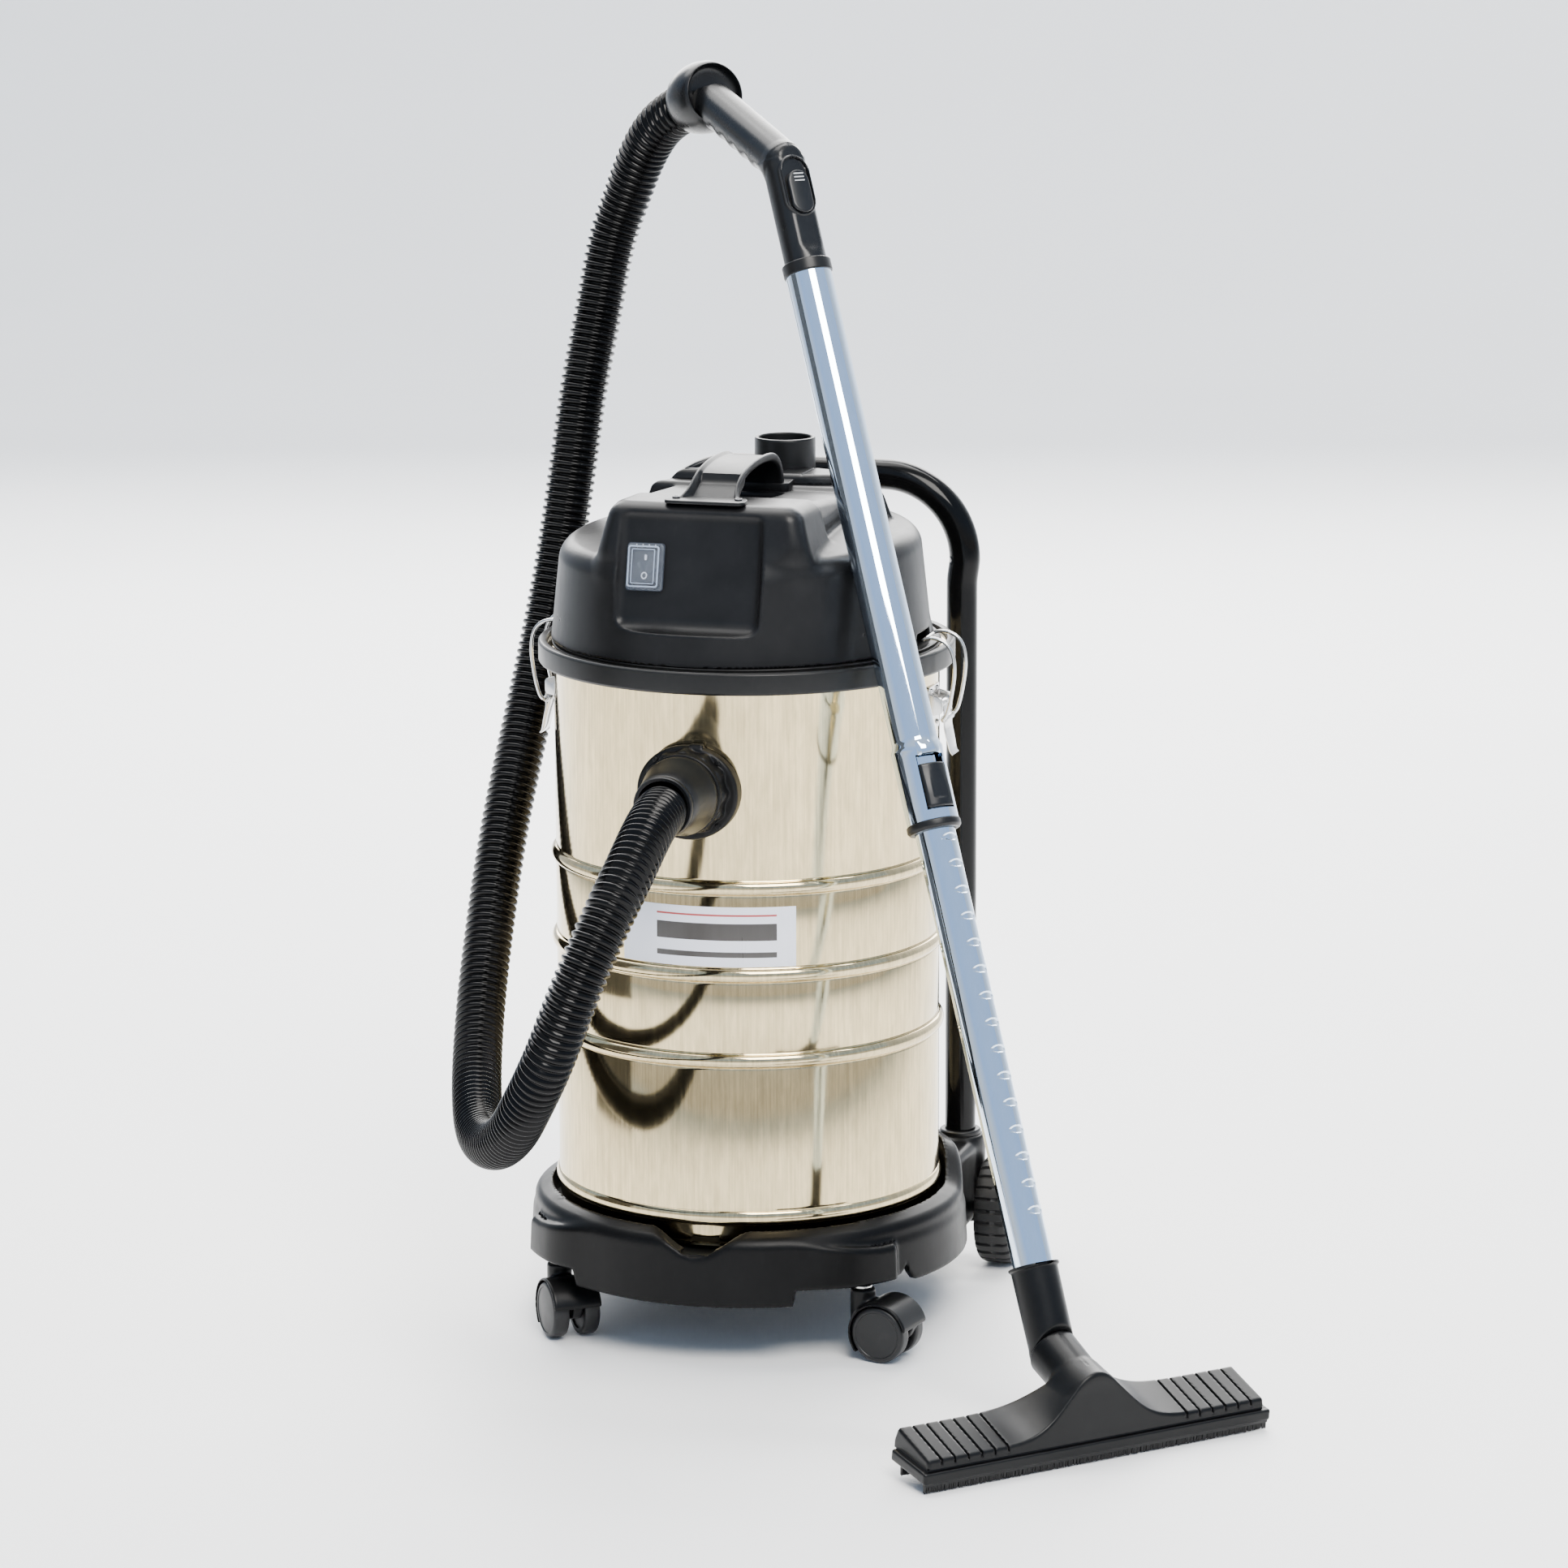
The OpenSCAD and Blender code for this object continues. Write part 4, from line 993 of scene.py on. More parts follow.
def make_latch(name, s):
    """Over-centre latch on the tank's side: plate with ears, lever, and wire bail."""
    at = IDENTITY if s > 0 else turn("Z", 180)
    plate = rect(-17.5, 536, 17.5, 575, 3, 5)
    rings = [[(math.sqrt((TANK_R + lift) ** 2 - y * y), y, z) for y, z in plate]
             for lift in (0.12, 1.72)]
    heap = Heap().add(*loft(rings))
    for y in (-16.4, 14.4):
        ear = rounded([(171, 550), (183, 553), (183, 566), (171, 569)], [0.5, 4, 4, 0.5], 5)
        v, f = slab(ear, 0, 2.0, 0.3)
        heap.add(np.column_stack([v[:, 0], v[:, 2] + y, v[:, 1]]), [g[::-1] for g in f])
    heap.add(*lathe(rect(0, -15.6, 2, 15.6, [0, 0.5, 0.5, 0], 3), 24),
             move(179, 0, 560) @ turn("X", 90))
    for y, z in ((-10, 541), (10, 541), (-10, 571), (10, 571)):
        rivet = lathe([(0, 1.3), (1.2, 1.2), (2.1, 0.7), (2.5, 0), (2.5, -0.6), (0, -0.6)], 20)
        a = math.asin(y / 171.6)
        heap.add(*rivet, turn("Z", math.degrees(a)) @ move(171.9, 0, z) @ turn("Y", 90))
    heap.make(f"latch_plate_{name}", "machine", "wire", "steel", (f"latch_bracket_{name}",), at)
    lever = Heap()
    line = spline([(x, 0, z) for x, z in (
        (181.0, 562.5), (182.6, 557), (183.6, 549), (183.4, 541), (184.6, 534), (186.4, 526),
        (188.2, 518.5), (190.4, 515.2))], 6)
    sec = rect(-0.75, -12.4, 0.75, 12.4, 0.5, 3)
    t = np.gradient(line, axis=0)
    t /= np.linalg.norm(t, axis=1)[:, None]
    side = np.cross(t, np.array([0, 1.0, 0]))
    width = 1 - 0.22 * slope(np.linspace(0, 1, len(line)), 0.55, 1.0)
    lever.add(*loft([p + sec[:, :1] * side[i] + sec[:, 1:] * width[i] * np.array([0, 1.0, 0])
                     for i, p in enumerate(line)]))
    for cx, cz, r0, r1 in ((179, 560, 2.06, 3.9), (183, 547, 1.7, 3.2)):
        lever.add(*lathe(rect(r0, -12.2, r1, 12.2, 0.25, 2), 28, closed=True),
                  move(cx, 0, cz) @ turn("X", 90))
    lever.make(f"latch_handle_{name}", f"lever_{name}", "wire", "steel", (f"latch_lever_{name}",),
               at)
    y = 18.8
    side_line = spline([(x, y, z) for x, z in (
        (183, 547), (186.8, 551.5), (190, 562), (193, 578), (194.3, 592), (193, 604.5),
        (189.2, 612.8), (183, 617.6), (175.5, 619.8), (168.5, 619.2), (165, 617.1))], 5)
    loop = np.vstack([side_line, even(np.array([[165, y, 617.1], [165, -y, 617.1]]), 4)[1:],
                      (side_line * np.array([1, -1, 1]))[::-1][1:],
                      even(np.array([[183, -y, 547], [183, y, 547]]), 4)[1:-1]])
    for _ in range(2):
        loop = (np.roll(loop, 1, 0) + 2 * loop + np.roll(loop, -1, 0)) / 4
    v, f = sweep(loop, 1.6, 14, closed=True)
    mesh(f"latch_bail_{name}", v, f, f"wire_{name}", "wire", (f"latch_wire_{name}",), at,
         sharp=0)


# ---------------------------------------------------------------- dolly

BAR_X, BAR_Y = 143, 200
AXLE_Y, AXLE_Z, WHEEL_X = 189, 50, 187


def dolly_field(x, y, z):
    """Round dolly: rim, skirt, caster lobes, front scallop and rear axle block."""
    r = np.hypot(x, y)
    phi = np.abs(np.degrees(np.arctan2(x, -y)))
    top = 118.5 + 26 * slope(phi, 97, 118) - 0.5 * np.maximum(r - 177, 0)
    outer = 194.5 - (z - 56) * 0.05
    raised = slope(x, 91, 93.5) + slope(-x, 108, 114)
    foot = 53 + 14 * raised * (1 - slope(phi, 62, 63)) + 6 * slope(phi, 62, 63)
    foot = foot + 9 * np.exp(-((phi - 62.5) / 1.7) ** 2)
    swell = slope(phi, 24, 46) * (1 - slope(phi, 55.5, 59.5))
    skirt = both(r - outer, z - top, 5)
    lobe = both(r - outer - 10.5 * swell, z - 109 + 10 * slope(phi, 28, 54), 6)
    out = both(union(skirt, lobe * 0.9, 5), foot - z, 2.5)
    out = both(out, 175.8 - r, 2)
    out = minus(out, np.maximum(r - 188.5 - 7 * swell, z - 98), 1.0)
    deck = both(r - 187, abs(z - 91.8) - 5.8, 0.6)
    out = union(out, deck, 1)
    wave = 0.5 + 0.5 * np.cos(math.pi * np.clip((x - 9) / 44, -1, 1))
    dip = 121 - 23 * np.clip(wave, 0, 1) ** 0.6
    out = minus(out, np.maximum(dip - z, y + 120) * 0.8, 5)
    out = union(out, both(r - 186, abs(z - 91.8) - 5.2, 0.6))
    for s in (-1, 1):
        post = np.hypot(x - s * CASTER_X, y + CASTER_Y)
        out = union(out, np.maximum(post - 12, np.maximum(64.5 - z, z - 90)), 3)
    block = box(x, y, z, 0, 165, 76, 163, 50, 38, 9)
    block = minus(block, np.maximum(r - 177, 60 - z), 1)
    block = minus(block, box(x, y, z, 0, 168, 40, 150, 38, 52, 6), 2)
    out = union(out, block, 5)
    for s in (-1, 1):
        from_bar = np.hypot(x - s * BAR_X, y - BAR_Y)
        out = union(out, both(from_bar - 22, abs(z - 86) - 30, 2), 6)
        out = minus(out, from_bar - 14.1)
        arch = np.maximum(np.hypot(y - AXLE_Y, z - AXLE_Z) - 55.5, abs(x - s * WHEEL_X) - 19.5)
        out = minus(out, arch, 1.5)
        out = union(out, box(x, y, z, s * 158, AXLE_Y, 60, 5, 12, 22, 3), 2)
        out = minus(out, np.maximum(np.hypot(x - s * CASTER_X, y + CASTER_Y) - 5.7, z - 93))
    out = minus(out, np.hypot(y - AXLE_Y, z - AXLE_Z) - 6.1)
    return both(out, 36.5 - z)


def make_dolly():
    """The dolly's tray, the bent tube of its push handle, and the collars at its feet."""
    carved("dolly_tray", dolly_field, (-212, -210, 32), (212, 222, 150), 2.0, "machine",
           "dolly", ("dolly_base",), sharp=50)
    heap = Heap()
    for s in (-1, 1):
        prof = rounded([(14.05, 112.2), (19, 112.2), (19, 120), (17.6, 121.2), (14.05, 121.2)],
                       [0, 0.6, 1.0, 0.6, 0.3], 4)
        heap.add(*lathe(prof, 64, closed=True), move(s * BAR_X, BAR_Y, 0))
    heap.make("socket_collars", "machine", "ring", "black_plastic", ("handle_collars",))
    bend, flare = 75.0, 2.6
    line = list(even(np.array([(-BAR_X, BAR_Y, 71), (-BAR_X, BAR_Y, 628)], float), 12))
    for z in np.linspace(634, 652, 5):
        line.append(np.array([-BAR_X - flare * slope(z, 630, 655), BAR_Y, z]))
    for a in np.radians(np.linspace(180, 90, 26)):
        line.append(np.array([-BAR_X - flare + bend + bend * math.cos(a), BAR_Y,
                              653 + bend * math.sin(a)]))
    left = np.array(line)
    mirror = np.array([-1, 1, 1])
    bar = even(np.array([left[-1], left[-1] * mirror]), 10)[1:-1]
    v, f = sweep(np.vstack([left, bar, (left * mirror)[::-1]]), 14.0, 48)
    mesh("push_bar", v, f, "machine", "tube", ("push_handle",), sharp=0)


TRAIL, ROLLER_R = 24, 25


def hood_field(x, y, z):
    """A caster's hood: two side pockets for the rollers, and the boss for its pin."""
    d = np.hypot(x - TRAIL, z - ROLLER_R)
    disc = both(d - 28.4, abs(y) - 22, 2.0)
    pocket = both(d - 26.3, abs(abs(y) - 14) - 9.6, 0.6)
    boss = both(np.hypot(x, y) - 11, abs(z - 43) - 17, 2)
    body = minus(union(disc, boss, 4), pocket)
    body = both(body, 14 + 0.32 * (x - TRAIL) - z, 1.2)
    body = both(body, x - TRAIL - 24 + 0.5 * (ROLLER_R - z), 2)
    return minus(body, np.hypot(x, y) - 5.6)


def make_casters():
    """Both front casters: hood, pin with its cross axle, and a pair of rollers."""
    pin = rounded([(0, 34), (5.4, 34), (5.4, 60.3), (8, 60.3), (8, 62.8), (5.4, 62.8), (5.4, 92),
                   (0, 92)], [0, 0.5, 0.2, 0.5, 0.5, 0.3, 0.5, 0], 3)
    roller = [(4.1, -7), (8, -7.2), (8.5, -5.5), (19, -5.5), (19.6, -7.2), (22, -7.4),
              (23.8, -6.9), (24.8, -5.4), (25, -3), (25, 3), (24.8, 5.2), (23.9, 6.6),
              (22.5, 7.4), (20.8, 7.5), (20.2, 6.9), (17, 7.3), (8, 7.9), (0.01, 8.0), (0.01, 6),
              (4.1, 6)]
    for name, at in CASTERS:
        carved(f"caster_hood_{name}", hood_field, (-14, -24, -2), (56, 24, 62), 0.9,
               f"caster_{name}", "caster", (f"caster_fork_{name}",), at)
        heap = Heap().add(*lathe(pin, 40))
        heap.add(*lathe([(0, -21), (3.9, -21), (3.9, 21), (0, 21)], 24),
                 move(TRAIL, 0, ROLLER_R) @ turn("X", 90))
        heap.make(f"caster_pin_{name}", f"caster_{name}", "wire", "steel",
                  (f"caster_stem_{name}",), at)
        heap = Heap()
        for quarter in (90, -90):
            heap.add(*lathe(roller, 72, closed=True),
                     move(TRAIL, 0, ROLLER_R) @ turn("X", quarter) @ move(0, 0, 14.3))
        heap.make(f"caster_rollers_{name}", f"caster_wheels_{name[0]}", "tread", "caster_tread",
                  (f"caster_wheels_{name}",), at, sharp=35)


def tyre_rings():
    """Sections of a tyre all round, with a groove across the tread in every lug's gap."""
    side = [(33, 13), (40, 15.6), (44, 16.6), (46.6, 16.2), (48.6, 14.4), (49.7, 11.2), (50, 8)]
    prof = [(r, -z) for r, z in side] + [(50, z) for z in (-4, 0, 4)] + side[::-1]
    prof = np.array(prof)
    steps, lugs, groove_share, groove_deep = 288, 28, 0.25, 2.4
    rings = []
    for i in range(steps):
        groove = 1.0 if (i * lugs / steps) % 1.0 < groove_share else 0.0
        depth = groove_deep * groove * slope(prof[:, 0], 45.5, 48.5) * (np.abs(prof[:, 1]) > 2.4)
        rings.append(around(2 * math.pi * i / steps, zip(prof[:, 0] - depth, prof[:, 1])))
    return rings


def make_rear_wheels():
    """The rear axle with its caps, and a ribbed hub and lugged tyre at each end."""
    axle = rect(0, -212.6, 6, 212.6, [0, 1, 1, 0], 3)
    turned("axle_rod", axle, 40, "machine", "wire", ("rear_axle",),
           move(0, AXLE_Y, AXLE_Z) @ turn("Y", 90), closed=False)
    caps = Heap()
    for s in (-1, 1):
        prof = rounded([(6.05, -2), (13, -2), (13, 1.6), (9, 4), (6.05, 4)],
                       [0, 0.6, 1.5, 1, 0], 4)
        caps.add(*lathe(prof, 48, closed=True),
                 move(s * 210.2, AXLE_Y, AXLE_Z) @ turn("Y", 90 * s))
    caps.make("axle_end_caps", "machine", "dolly", "black_plastic", ("axle_caps",))
    half_hub = [(6.06, 19.8), (10.4, 19.8), (11, 19.2), (11.6, 12), (27, 9.4), (29, 10.4),
                (31, 13), (33, 13.4)]
    hub_line = [(r, -z) for r, z in half_hub] + half_hub[::-1]
    for s, name in ((-1, "left"), (1, "right")):
        at = move(s * WHEEL_X, AXLE_Y, AXLE_Z) @ turn("Y", 90)
        v, f = loft(tyre_rings(), looped=True)
        mesh(f"tyre_{name}", v, f, f"wheel_{name}", "tyre", (f"rear_tyre_{name}",), at,
             sharp=30)
        hub = Heap().add(*lathe(hub_line, 96, closed=True))
        for k in range(6):
            web = rect(-1.6, 11, 1.6, 28.5, 0.4, 2)
            for z0, z1 in ((9.0, 12.2), (-12.2, -9.0)):
                hub.add(*slab(web, z0, z1, 0.4), turn("Z", 60 * k))
        hub.make(f"hub_{name}", f"wheel_{name}", "dolly", "black_plastic", (f"rear_hub_{name}",),
                 at)


# ---------------------------------------------------------------- floor tool

NECK_IN_TOOL = TOOL.inverted() @ NECK


def tool_field(x, y, z):
    """Floor tool: stepped frame, ribbed ends, bell-shaped front crest and neck."""
    frame_ = box(x, y, z, 0, 27, 13, 169.5, 27, 5, 2.2)
    across = abs(x)
    crest = np.exp(-(x / 39.0) ** 2)
    wing = 27.5 + (y - 8) * 0.19
    front = 46.5 * crest
    back = 30.0 * np.exp(-(x / 46.0) ** 2)
    t = np.clip((y - 8) / 46.0, 0, 1)
    height = wing + front * (1 - t) + back * t
    body = both((z - height) * 0.72, 3.0 + 0.20 * (z - 18) - y, 1.6)
    body = both(body, y - 59 + 0.38 * np.maximum(z - 24, 0), 2.4)
    body = both(body, across - 164.5, 2.5)
    body = both(body, 17 - z)
    ends = np.maximum(85 - across, across - 163.5)
    groove = np.maximum(np.abs((across - 86) % 12.8 - 1.4) - 0.9, ends)
    body = minus(body, np.maximum(np.maximum(groove, -1.9 - body), 22 - z), 0.4)
    m = np.array(NECK_IN_TOOL)
    t, rad = about_line(x, y, z, m[:3, 3], m[:3, 2])
    neck = both(rad - 22 - 0.02 * t, np.maximum(t, -t - 62), 1.2)
    neck = both(neck, 3.0 + 0.20 * (z - 18) - y, 1.0)
    out = union(body, neck, 9)
    seam = np.maximum(abs(x) - 0.35, rad - 22.5)
    out = minus(out, np.maximum(np.maximum(seam, 21.6 - rad), -np.maximum(t + 60, -t)), 0.3)
    out = minus(out, np.maximum(rad - 18.4, np.maximum(t - 5, -34 - t)))
    out = union(out, frame_, 0.8)
    gap = np.maximum(np.maximum(abs(z - 18.6) - 0.9, across - 200), y - 5.4)
    out = minus(out, gap, 0.5)
    return minus(out, box(x, y, z, 0, 23, 8, 150, 10, 14, 3), 0.6)


def make_tool():
    """The floor tool's body, and two brush strips of single bristles."""
    carved("tool_body", tool_field, (-176, -4, 5), (176, 92, 96), 1.2, "tool", "tool",
           ("floor_tool",), TOOL, sharp=50)
    heap = Heap()
    rng = np.random.default_rng(11)
    thick, root = 0.62, 6.4
    foot = level(np.array([(-1, -0.8), (1, -0.8), (1, 0.8), (-1, 0.8)]) * thick, root)
    for y0 in (1.4, 37.4):
        heap.add(*slab(rect(-168, y0, 168, y0 + 3.4, 0.5, 2), 6.0, 8.4))
        for row_y in (0.5, 1.7, 2.9):
            for x in np.arange(-167, 167.2, 1.7):
                spot = np.array([x + rng.uniform(-0.3, 0.3), y0 + row_y, 0])
                lean = rng.uniform(-0.5, 0.5, 2)
                tip = rng.uniform(0.05, 0.9)
                end = foot * np.array([0.8, 0.6, 0]) + np.array([lean[0], lean[1] * 0.4, tip])
                heap.add(*loft([foot + spot, end + spot]))
    heap.make("tool_bristles", "tool", "bristle", "bristle", ("brush_strips",), TOOL, sharp=30)


def elbow_field(x, y, z):
    """Swivel elbow, in the neck's frame with z out of the tool's mouth."""
    m = np.array(NECK.inverted() @ WAND)
    o, d = m[:3, 3], m[:3, 2]
    t, rad = about_line(x, y, z, o + d * BEND_AT, d)
    tube_ = np.maximum(rad - 20 + 0.006 * (73 - t), np.maximum(-t, t - 71.5))
    joint = ball(x, y, z, (0, 0, 0), 20.1)
    out = union(tube_, joint)
    out = both(out, 0.6 - z, 1.2)
    rim = both(rad - 21.7, abs(t - 72) - 1.4, 0.9)
    out = union(out, rim, 1.2)
    spigot = np.maximum(np.hypot(x, y) - 18.2, abs(z + 14) - 16)
    out = union(out, spigot)
    bore = np.maximum(rad - 17.3, 24 - t)
    return minus(minus(out, bore), np.maximum(np.hypot(x, y) - 14.5, z))


# ---------------------------------------------------------------- wand

def dented_tube(r, dents, dent_angle):
    """Rings of the lower tube, pressed in at each detent along one side."""
    zs = np.unique(np.round(np.concatenate(
        [np.arange(108.5, 618, 6)] + [np.arange(d - 4.6, d + 4.7, 0.55) for d in dents]), 2))
    angles = np.radians(np.concatenate([np.linspace(-140, -10, 53), np.linspace(-5, 215, 40)]))
    away = angles - dent_angle
    across = r * np.sin(away)
    front = np.cos(away) > 0.25
    rings = []
    for z in zs:
        depth = np.zeros(len(angles))
        for d in dents:
            if abs(z - d) < 4.6:
                lens = 1 - ((z - d) / 3.6) ** 2 - (across / 9.6) ** 2
                depth += np.where(front, 2.0 * np.clip(lens, 0, 1), 0)
        rings.append(np.column_stack([r * np.cos(angles) - depth * math.cos(dent_angle),
                                      r * np.sin(angles) - depth * math.sin(dent_angle),
                                      np.full(len(angles), z)]))
    inner = np.column_stack([np.cos(angles), np.sin(angles)]) * (r - 1)
    return rings + [level(inner, z) for z in (617.5, 110)]


def sleeve_r(z):
    """The upper tube's radius: the locking sleeve at its foot, then the plain tube."""
    return 22.3 - 2.3 * slope(z, 601, 612) + 0.5 * math.exp(-((z - 604) / 3.5) ** 2)


def windowed_tube():
    """The upper tube as a thin wall, with a window in the sleeve for the lock button."""
    zs = np.concatenate([np.linspace(540, 600, 31), np.linspace(601, 614, 18),
                         np.array([700, 800, 900, 1000, 1037.4])])
    angles = np.radians(np.arange(0, 360, 3.0))
    m, na = len(zs), len(angles)
    circle = np.column_stack([np.cos(angles), np.sin(angles)])
    pts = np.concatenate([level(circle * (sleeve_r(z) - wall), z) for wall in (0, 1.1) for z in zs])
    faces = []

    def is_open(i, k):
        a = angles[k] + math.radians(1.5)
        zc = (zs[i] + zs[min(i + 1, m - 1)]) / 2
        return 548 < zc < 596 and math.sin(a) < 0 and abs(22.3 * math.cos(a)) < 13.2

    def wall_between(a, b):
        faces.append((a, b, m * na + b, m * na + a))

    for i in range(m - 1):
        for k in range(na):
            if is_open(i, k):
                continue
            j = (k + 1) % na
            low, high = i * na, (i + 1) * na
            faces.append((low + k, low + j, high + j, high + k))
            low, high = low + m * na, high + m * na
            faces.append((low + j, low + k, high + k, high + j))
            low, high = i * na, (i + 1) * na
            for beside, edge in (((k - 1) % na, k), (j, j)):
                if is_open(i, beside):
                    wall_between(low + edge, high + edge)
            if i and is_open(i - 1, k):
                wall_between(low + k, low + j)
            if i < m - 2 and is_open(i + 1, k):
                wall_between(high + k, high + j)
    for i in (0, m - 1):
        for k in range(na):
            wall_between(i * na + k, i * na + (k + 1) % na)
    return pts, faces


def button_field(x, y, z):
    """The lock button: a curved shell in the sleeve's window, hollowed for the thumb."""
    r = np.hypot(x, y)
    body = both(r - 24.2 + 1.4 * slope(z, 560, 588), np.abs(x) - 12.2, 1.6)
    body = both(body, np.maximum(549.2 - z, z - 588.0), 2.0)
    body = both(body, 17.9 - r)
    body = both(body, y + 8)
    return minus(body, box(x, y, z, 0, -26.4, 569, 7.5, 3.2, 13, 2.4), 1.0)


def make_wand():
    """Swivel elbow, both tubes, end ring, lock button, lip over it and top trim."""
    carved("swivel_elbow", elbow_field, (-26, -64, -32), (26, 30, 74), 1.0, "wand_tip", "tool",
           ("neck_elbow",), NECK)
    detents = [200.2 + 23.1 * k for k in range(15)]
    v, f = loft(dented_tube(17.25, detents, math.radians(-72)), looped=True)
    mesh("wand_tube_inner", v, f, "wand_tip", "chrome", ("wand_lower",), WAND)
    v, f = windowed_tube()
    mesh("wand_tube_outer", v, f, "wand", "chrome", ("wand_upper",), WAND)
    ring = rounded([(17.7, 532.2), (21.4, 532.2), (23.3, 534.4), (23.3, 539.6), (17.7, 539.6)],
                   [0.4, 1.2, 1.6, 1.0, 0.3], 5)
    turned("sleeve_ring", ring, 80, "wand", "ring", ("wand_end_ring",), WAND)
    carved("lock_slide_button", button_field, (-14, -27, 547), (14, -6, 590), 0.8, "lock_button",
           "slider", ("wand_lock_button",), WAND)
    arc = np.radians(np.linspace(-121, -59, 31))
    lip = ((0, 595.5), (1.3, 596.2), (2.1, 599), (1.9, 602), (0.9, 605), (0, 607), (-0.9, 607),
           (-0.9, 595.5))
    rings = []
    for a in arc:
        swell = math.sin((a - arc[0]) / (arc[-1] - arc[0]) * math.pi) ** 0.5
        rings.append(around(a, [(22.2 + out * swell, z) for out, z in lip]))
    v, f = loft(rings)
    mesh("sleeve_lip", v, f, "wand", "chrome", (), WAND)
    trim = rounded([(20.05, 1030.2), (21.1, 1030.2), (21.4, 1031.4), (21.4, 1040.0), (20.8, 1041),
                    (18.8, 1041), (18.8, 1038.2), (20.05, 1038.2)],
                   [0.1, 0.4, 0.5, 0.7, 0.5, 0.5, 0.2, 0.2], 4)
    turned("tube_end_trim", trim, 96, "wand", "ring", ("wand_top_trim",), WAND)


GRIP_D = np.array(WAND.inverted() @ GRIP)[:3, 2]


def handle_field(x, y, z):
    """Bent handle in the wand's frame: flat-fronted stem, air-slide recess, waved grip."""
    r = np.hypot(x, y)
    lower = np.maximum(r - 18.4, np.maximum(1037.5 - z, z - ELBOW_AT))
    t, rad = about_line(x, y, z, (0, 0, ELBOW_AT), GRIP_D)
    below = t * GRIP_D[2] - (z - ELBOW_AT)
    wave = 0.9 * np.cos(2 * math.pi * (t - 8) / 21.0) * slope(below / 18.0, 0.1, 0.7)
    wave = wave * slope(t, 6, 26)
    grip = np.maximum(rad - 18.5 - wave, np.maximum(-t, t - (GRIP_LEN - 6)))
    elbow = ball(x, y, z, (0, 0, ELBOW_AT), 18.5)
    out = union(union(lower, grip, 5), elbow, 2)
    flat = 15.6 + 2.9 * (1 - slope(z, 1041, 1056))
    out = both(out, -y - flat, 1.2)
    oval = np.hypot(x, np.maximum(np.abs(z - 1106.5) - 13.2, 0))
    rim = both(both(np.abs(oval - 13.1) - 1.0, -y - 16.9, 0.6), y + 10)
    out = union(out, rim, 0.8)
    recess = np.maximum(oval - 12.2, y + 13.8)
    return minus(out, recess, 0.5)


def slide_field(x, y, z):
    """The air slide's oval cap, slightly domed."""
    oval = np.hypot(x, np.maximum(np.abs(z - 1100.2) - 9.0, 0)) - 10.4
    body = both(oval, -y - 20.4 + 0.012 * x * x, 1.6)
    return both(body, y + 14.1)


def make_handle():
    """The bent grip, its spigot in the tube, the air slide with its ridges, and the bell."""
    carved("bent_handle", handle_field, (-22, -24, 1034), (22, 132, 1236), 1.2, "wand", "handle",
           ("hose_handle",), WAND, sharp=50)
    spigot = rect(14, 987, 18.6, 1037.4, [0.5, 1, 0.2, 0.2], 3)
    turned("handle_spigot", spigot, 64, "wand", "ring", (), WAND)
    carved("air_slide_cap", slide_field, (-13, -24, 1078), (13, -14, 1122), 0.7, "slider",
           "slider", ("air_slider",), WAND)
    MATS["ridge"] = moulded("ridge highlight", (0.45, 0.46, 0.47), 0.3, 800, 0.00002)
    onto_cap = move(0, -20.2, 0) @ turn("X", 90)
    heap = Heap()
    for z in (1109.5, 1112.6, 1115.7):
        heap.add(*slab(rect(-4.8, z - 0.55, 4.8, z + 0.55, 0.4, 3), 0, 0.9, 0.3), onto_cap)
    heap.make("air_slide_ridges", "slider", "ridge", "handle_plastic", (), WAND)
    bell = [(0, -7.5), (19, -8), (23, -9), (25.4, -11.4), (26.1, -14), (26.2, -15.8),
            (26.9, -16.7), (27.8, -16.2), (29.2, -13.6), (31, -8), (32, 0), (31.9, 6),
            (31.2, 12.5), (29.6, 19.5), (27.2, 24.6), (24.6, 28.2), (23.4, 29.4), (22.4, 29.6),
            (21.6, 28.4), (21.2, 18), (0, 12)]
    turned("handle_bell", bell, 96, "wand", "handle", ("hose_bell",), BELL,
           sharp=35, closed=False)


# ---------------------------------------------------------------- inside

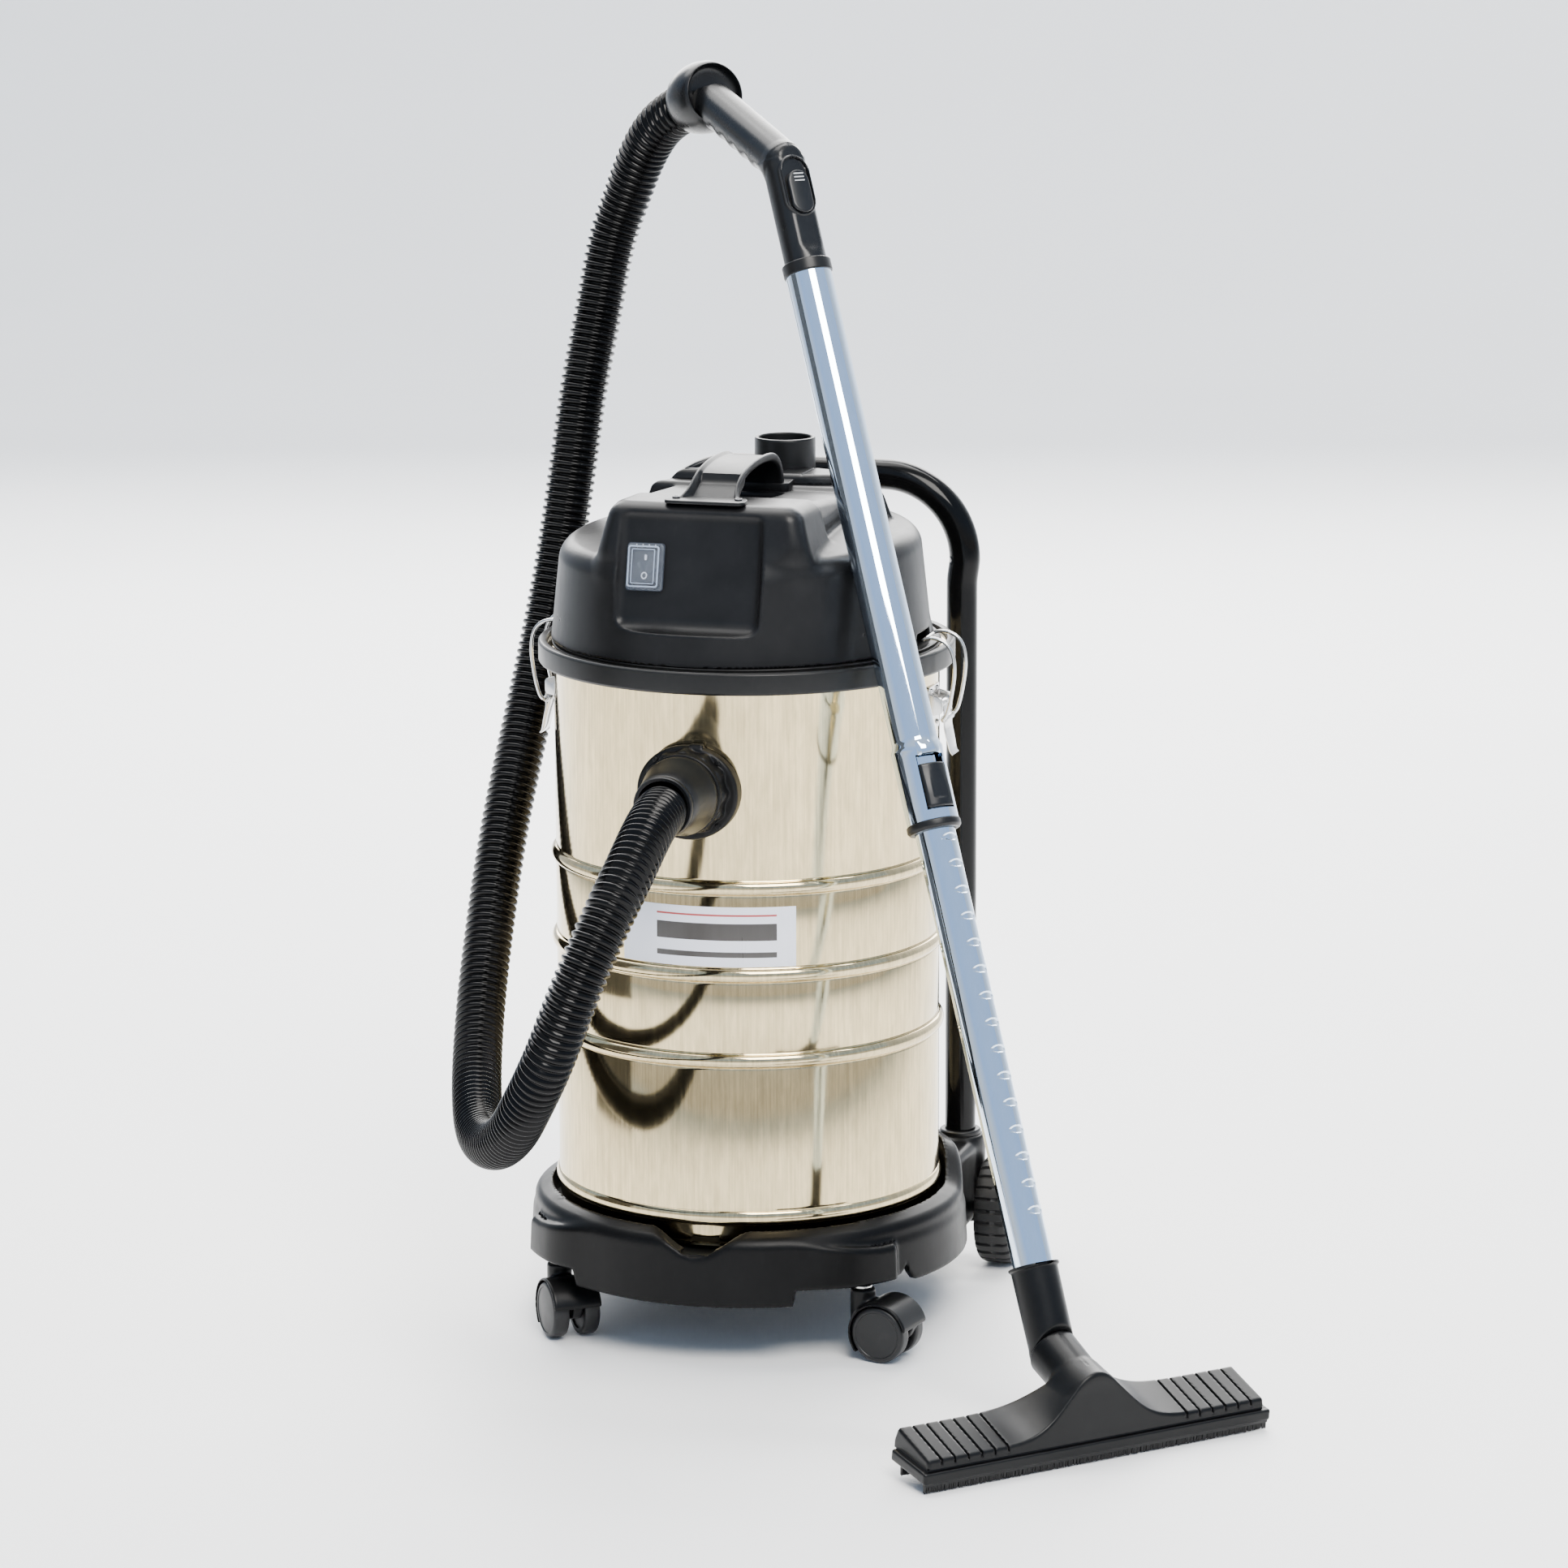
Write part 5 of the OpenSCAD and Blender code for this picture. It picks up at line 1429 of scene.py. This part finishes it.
def make_inside():
    """Plain stand-ins for the fan, motor, filter cage, pleated filter and float."""
    cover = rounded([(69, 611.7), (72, 611.7), (72, 635.4), (8, 635.4), (8, 633.6), (69, 633.6)],
                    [0.4, 0.4, 3, 0.3, 0.3, 1.5], 4)
    turned("fan_cover", cover, 96, "machine", "alloy", ("fan_housing",))
    can = [(5.06, 636), (52, 636), (52, 640), (50.5, 641), (50.5, 676), (52, 677), (52, 680),
           (30, 680), (30, 700), (28, 701.6), (5.06, 701.6)]
    turned("motor_can", can, 96, "machine", "alloy", ("motor_body",))
    heap = Heap()
    heap.add(*lathe([(5, 614.6), (60, 614.6), (60, 616.4), (14, 616.6), (14, 628.4), (5, 628.4)],
                    96, closed=True))
    heap.add(*lathe([(22, 626.8), (60, 626.8), (60, 628.4), (22, 628.4)], 96, closed=True))
    blade = [np.array([[x, y - 0.7, 616], [x, y + 0.7, 616], [x, y + 0.7, 627], [x, y - 0.7, 627]])
             for x, y in ((22 + 36 * t, 9 * math.sin(t * 2.2)) for t in np.linspace(0, 1, 12))]
    for k in range(9):
        heap.add(*loft(blade), turn("Z", 40 * k))
    heap.make("fan_wheel", "rotor", "alloy", "motor_metal", ("impeller",))
    turned("fan_shaft", [(0, 612.8), (4.9, 612.8), (4.9, 682), (0, 682)], 32, "rotor", "wire",
           ("motor_shaft",), closed=False)
    heap = Heap()
    for z in (480, 500, 520, 540, 560, 580, 598, 606):
        heap.add(*lathe(rect(75, z - 2, 78, z + 2, 0.6, 2), 72, closed=True))
    for k in range(18):
        heap.add(*slab(rect(75, -2, 77.6, 2, 0.5, 2), 479, 608), turn("Z", 20 * k))
    heap.add(*lathe([(0, 478.2), (78, 478.2), (78, 481), (0, 481)], 72))
    heap.make("float_cage", "machine", "ring", "cage_plastic", ("filter_cage",))
    pleats = 120
    a = np.linspace(0, 2 * math.pi, pleats * 2, endpoint=False)
    circle = np.column_stack([np.cos(a), np.sin(a)])
    fold = np.where(np.arange(pleats * 2) % 2, 99.6, 92.0)[:, None]
    rings = [level(circle * fold * k, z) for k, z in ((0.97, 488), (1, 490), (1, 596), (0.97, 598))]
    rings += [level(circle * 78.4, z) for z in (598, 488)]
    v, f = loft(rings, looped=True)
    paper = rubber("filter paper", (0.55, 0.52, 0.43), 0.8)
    mesh("pleated_filter", v, f, "machine", paper, ("filter_cartridge",))
    ball_line = [(22 * math.sin(t), 504 - 22 * math.cos(t)) for t in np.linspace(0, math.pi, 40)]
    turned("float_hollow_ball", ball_line, 64, "float",
           moulded("float plastic", (0.55, 0.16, 0.03), 0.4), ("float_ball",),
           closed=False)


make_tank()
make_label()
make_inlet()
make_head()
make_switch()
for latch_name, latch_side in (("left", -1), ("right", 1)):
    make_latch(latch_name, latch_side)
make_dolly()
make_casters()
make_rear_wheels()
make_tool()
make_wand()
make_handle()
make_inside()


# ---------------------------------------------------------------- stage

def area_light(name, size_x, size_y, power, at, aim, tone):
    """A soft rectangular light, in metres and watts, aimed at a point."""
    data = bpy.data.lights.new(name, "AREA")
    data.shape = "RECTANGLE"
    data.size, data.size_y = size_x, size_y
    data.energy = power
    data.color = tone
    ob = bpy.data.objects.new(name, data)
    ob.location = at
    ob.rotation_euler = (Vector(aim) - Vector(at)).to_track_quat("-Z", "Y").to_euler()
    bpy.context.scene.collection.objects.link(ob)


def make_card():
    """A dark upright card at the left, out of the camera's sight, for the steel to mirror."""
    tone = (0.05, 0.05, 0.05)
    me = bpy.data.meshes.new("card_left")
    x, z = 0.55, 1.3
    me.from_pydata([(-x, 0, -z), (x, 0, -z), (x, 0, z), (-x, 0, z)], [], [(0, 1, 2, 3)])
    m = Nodes("card_left felt")
    fluff = m.noise(60, 4, 0.6)
    felt = m.ramp(fluff, [(0.3, tuple(c * 0.9 for c in tone)), (0.7, tone)])
    me.materials.append(m.set(color=felt, rough=m.span(fluff, 0.85, 0.95), spec=0.1))
    ob = bpy.data.objects.new("card_left", me)
    ob.location = (-2.1, -0.7, 1.1)
    ob.rotation_euler = (0, 0, math.atan2(0.1, 1.0) + math.pi / 2)
    bpy.context.scene.collection.objects.link(ob)
    ob.visible_camera = False


def make_floor():
    """A pale floor that curves up into a wall behind the part, in metres."""
    floor = bpy.data.meshes.new("floor")
    half_width, bend, back, top = 30.0, 5.0, 6.0, 16.0
    line = [(-half_width, 0.0), (back, 0.0)]
    for a in np.radians(np.linspace(3.75, 90, 24)):
        line.append((back + bend * math.sin(a), bend * (1 - math.cos(a))))
    line.append((back + bend, top))
    floor.from_pydata([(x, y, z) for y, z in line for x in (-half_width, half_width)], [],
                      [(2 * k, 2 * k + 1, 2 * k + 3, 2 * k + 2) for k in range(len(line) - 1)])
    floor.shade_smooth()
    m = Nodes("floor paint")
    cloud = m.noise(1.5, 3, 0.5)
    paint = m.ramp(cloud, [(0.3, (0.93, 0.926, 0.918)), (0.7, (0.95, 0.946, 0.938))])
    floor.materials.append(m.set(color=paint, rough=m.span(cloud, 0.55, 0.65), spec=0.2))
    ob = bpy.data.objects.new("floor", floor)
    ob.location = (0, 0, -0.0005)
    bpy.context.scene.collection.objects.link(ob)


def make_sky():
    """Soft light from all round: pale below, bluer above, for the bright tubes to mirror."""
    world = bpy.data.worlds.new("studio")
    bpy.context.scene.world = world
    world.use_nodes = True
    tree = world.node_tree
    where = tree.nodes.new("ShaderNodeTexCoord")
    split = tree.nodes.new("ShaderNodeSeparateXYZ")
    tree.links.new(where.outputs["Generated"], split.inputs[0])
    ramp = tree.nodes.new("ShaderNodeValToRGB")
    tree.links.new(split.outputs["Z"], ramp.inputs["Fac"])
    els = ramp.color_ramp.elements
    els[0].position, els[0].color = 0.0, (0.86, 0.84, 0.81, 1)
    els[1].position, els[1].color = 1.0, (0.86, 0.90, 0.97, 1)
    for pos, tone in ((0.10, (0.88, 0.90, 0.93, 1)), (0.34, (0.52, 0.72, 1.04, 1)),
                      (0.66, (0.60, 0.77, 1.02, 1))):
        els.new(pos).color = tone
    back = tree.nodes["Background"]
    tree.links.new(ramp.outputs["Color"], back.inputs["Color"])
    back.inputs["Strength"].default_value = 1.0


def make_stage():
    """A plain pale studio."""
    make_floor()
    area_light("key", 1.8, 1.8, 200, (1.2, -1.9, 3.3), (0, 0, 0.5), (1.0, 0.965, 0.91))
    area_light("top", 2.6, 2.6, 140, (-0.9, 0.9, 3.4), (0, 0, 0.5), (1.0, 0.98, 0.95))
    area_light("wall", 9.0, 3.0, 1400, (0, 3.5, 9.5), (0, 11, 3.0), (1.0, 0.995, 0.985))
    area_light("back", 4.4, 3.0, 430, (-1.2, 4.0, 2.75), (0, 0, 0.7), (1.0, 0.985, 0.96))
    make_card()
    make_sky()


make_stage()
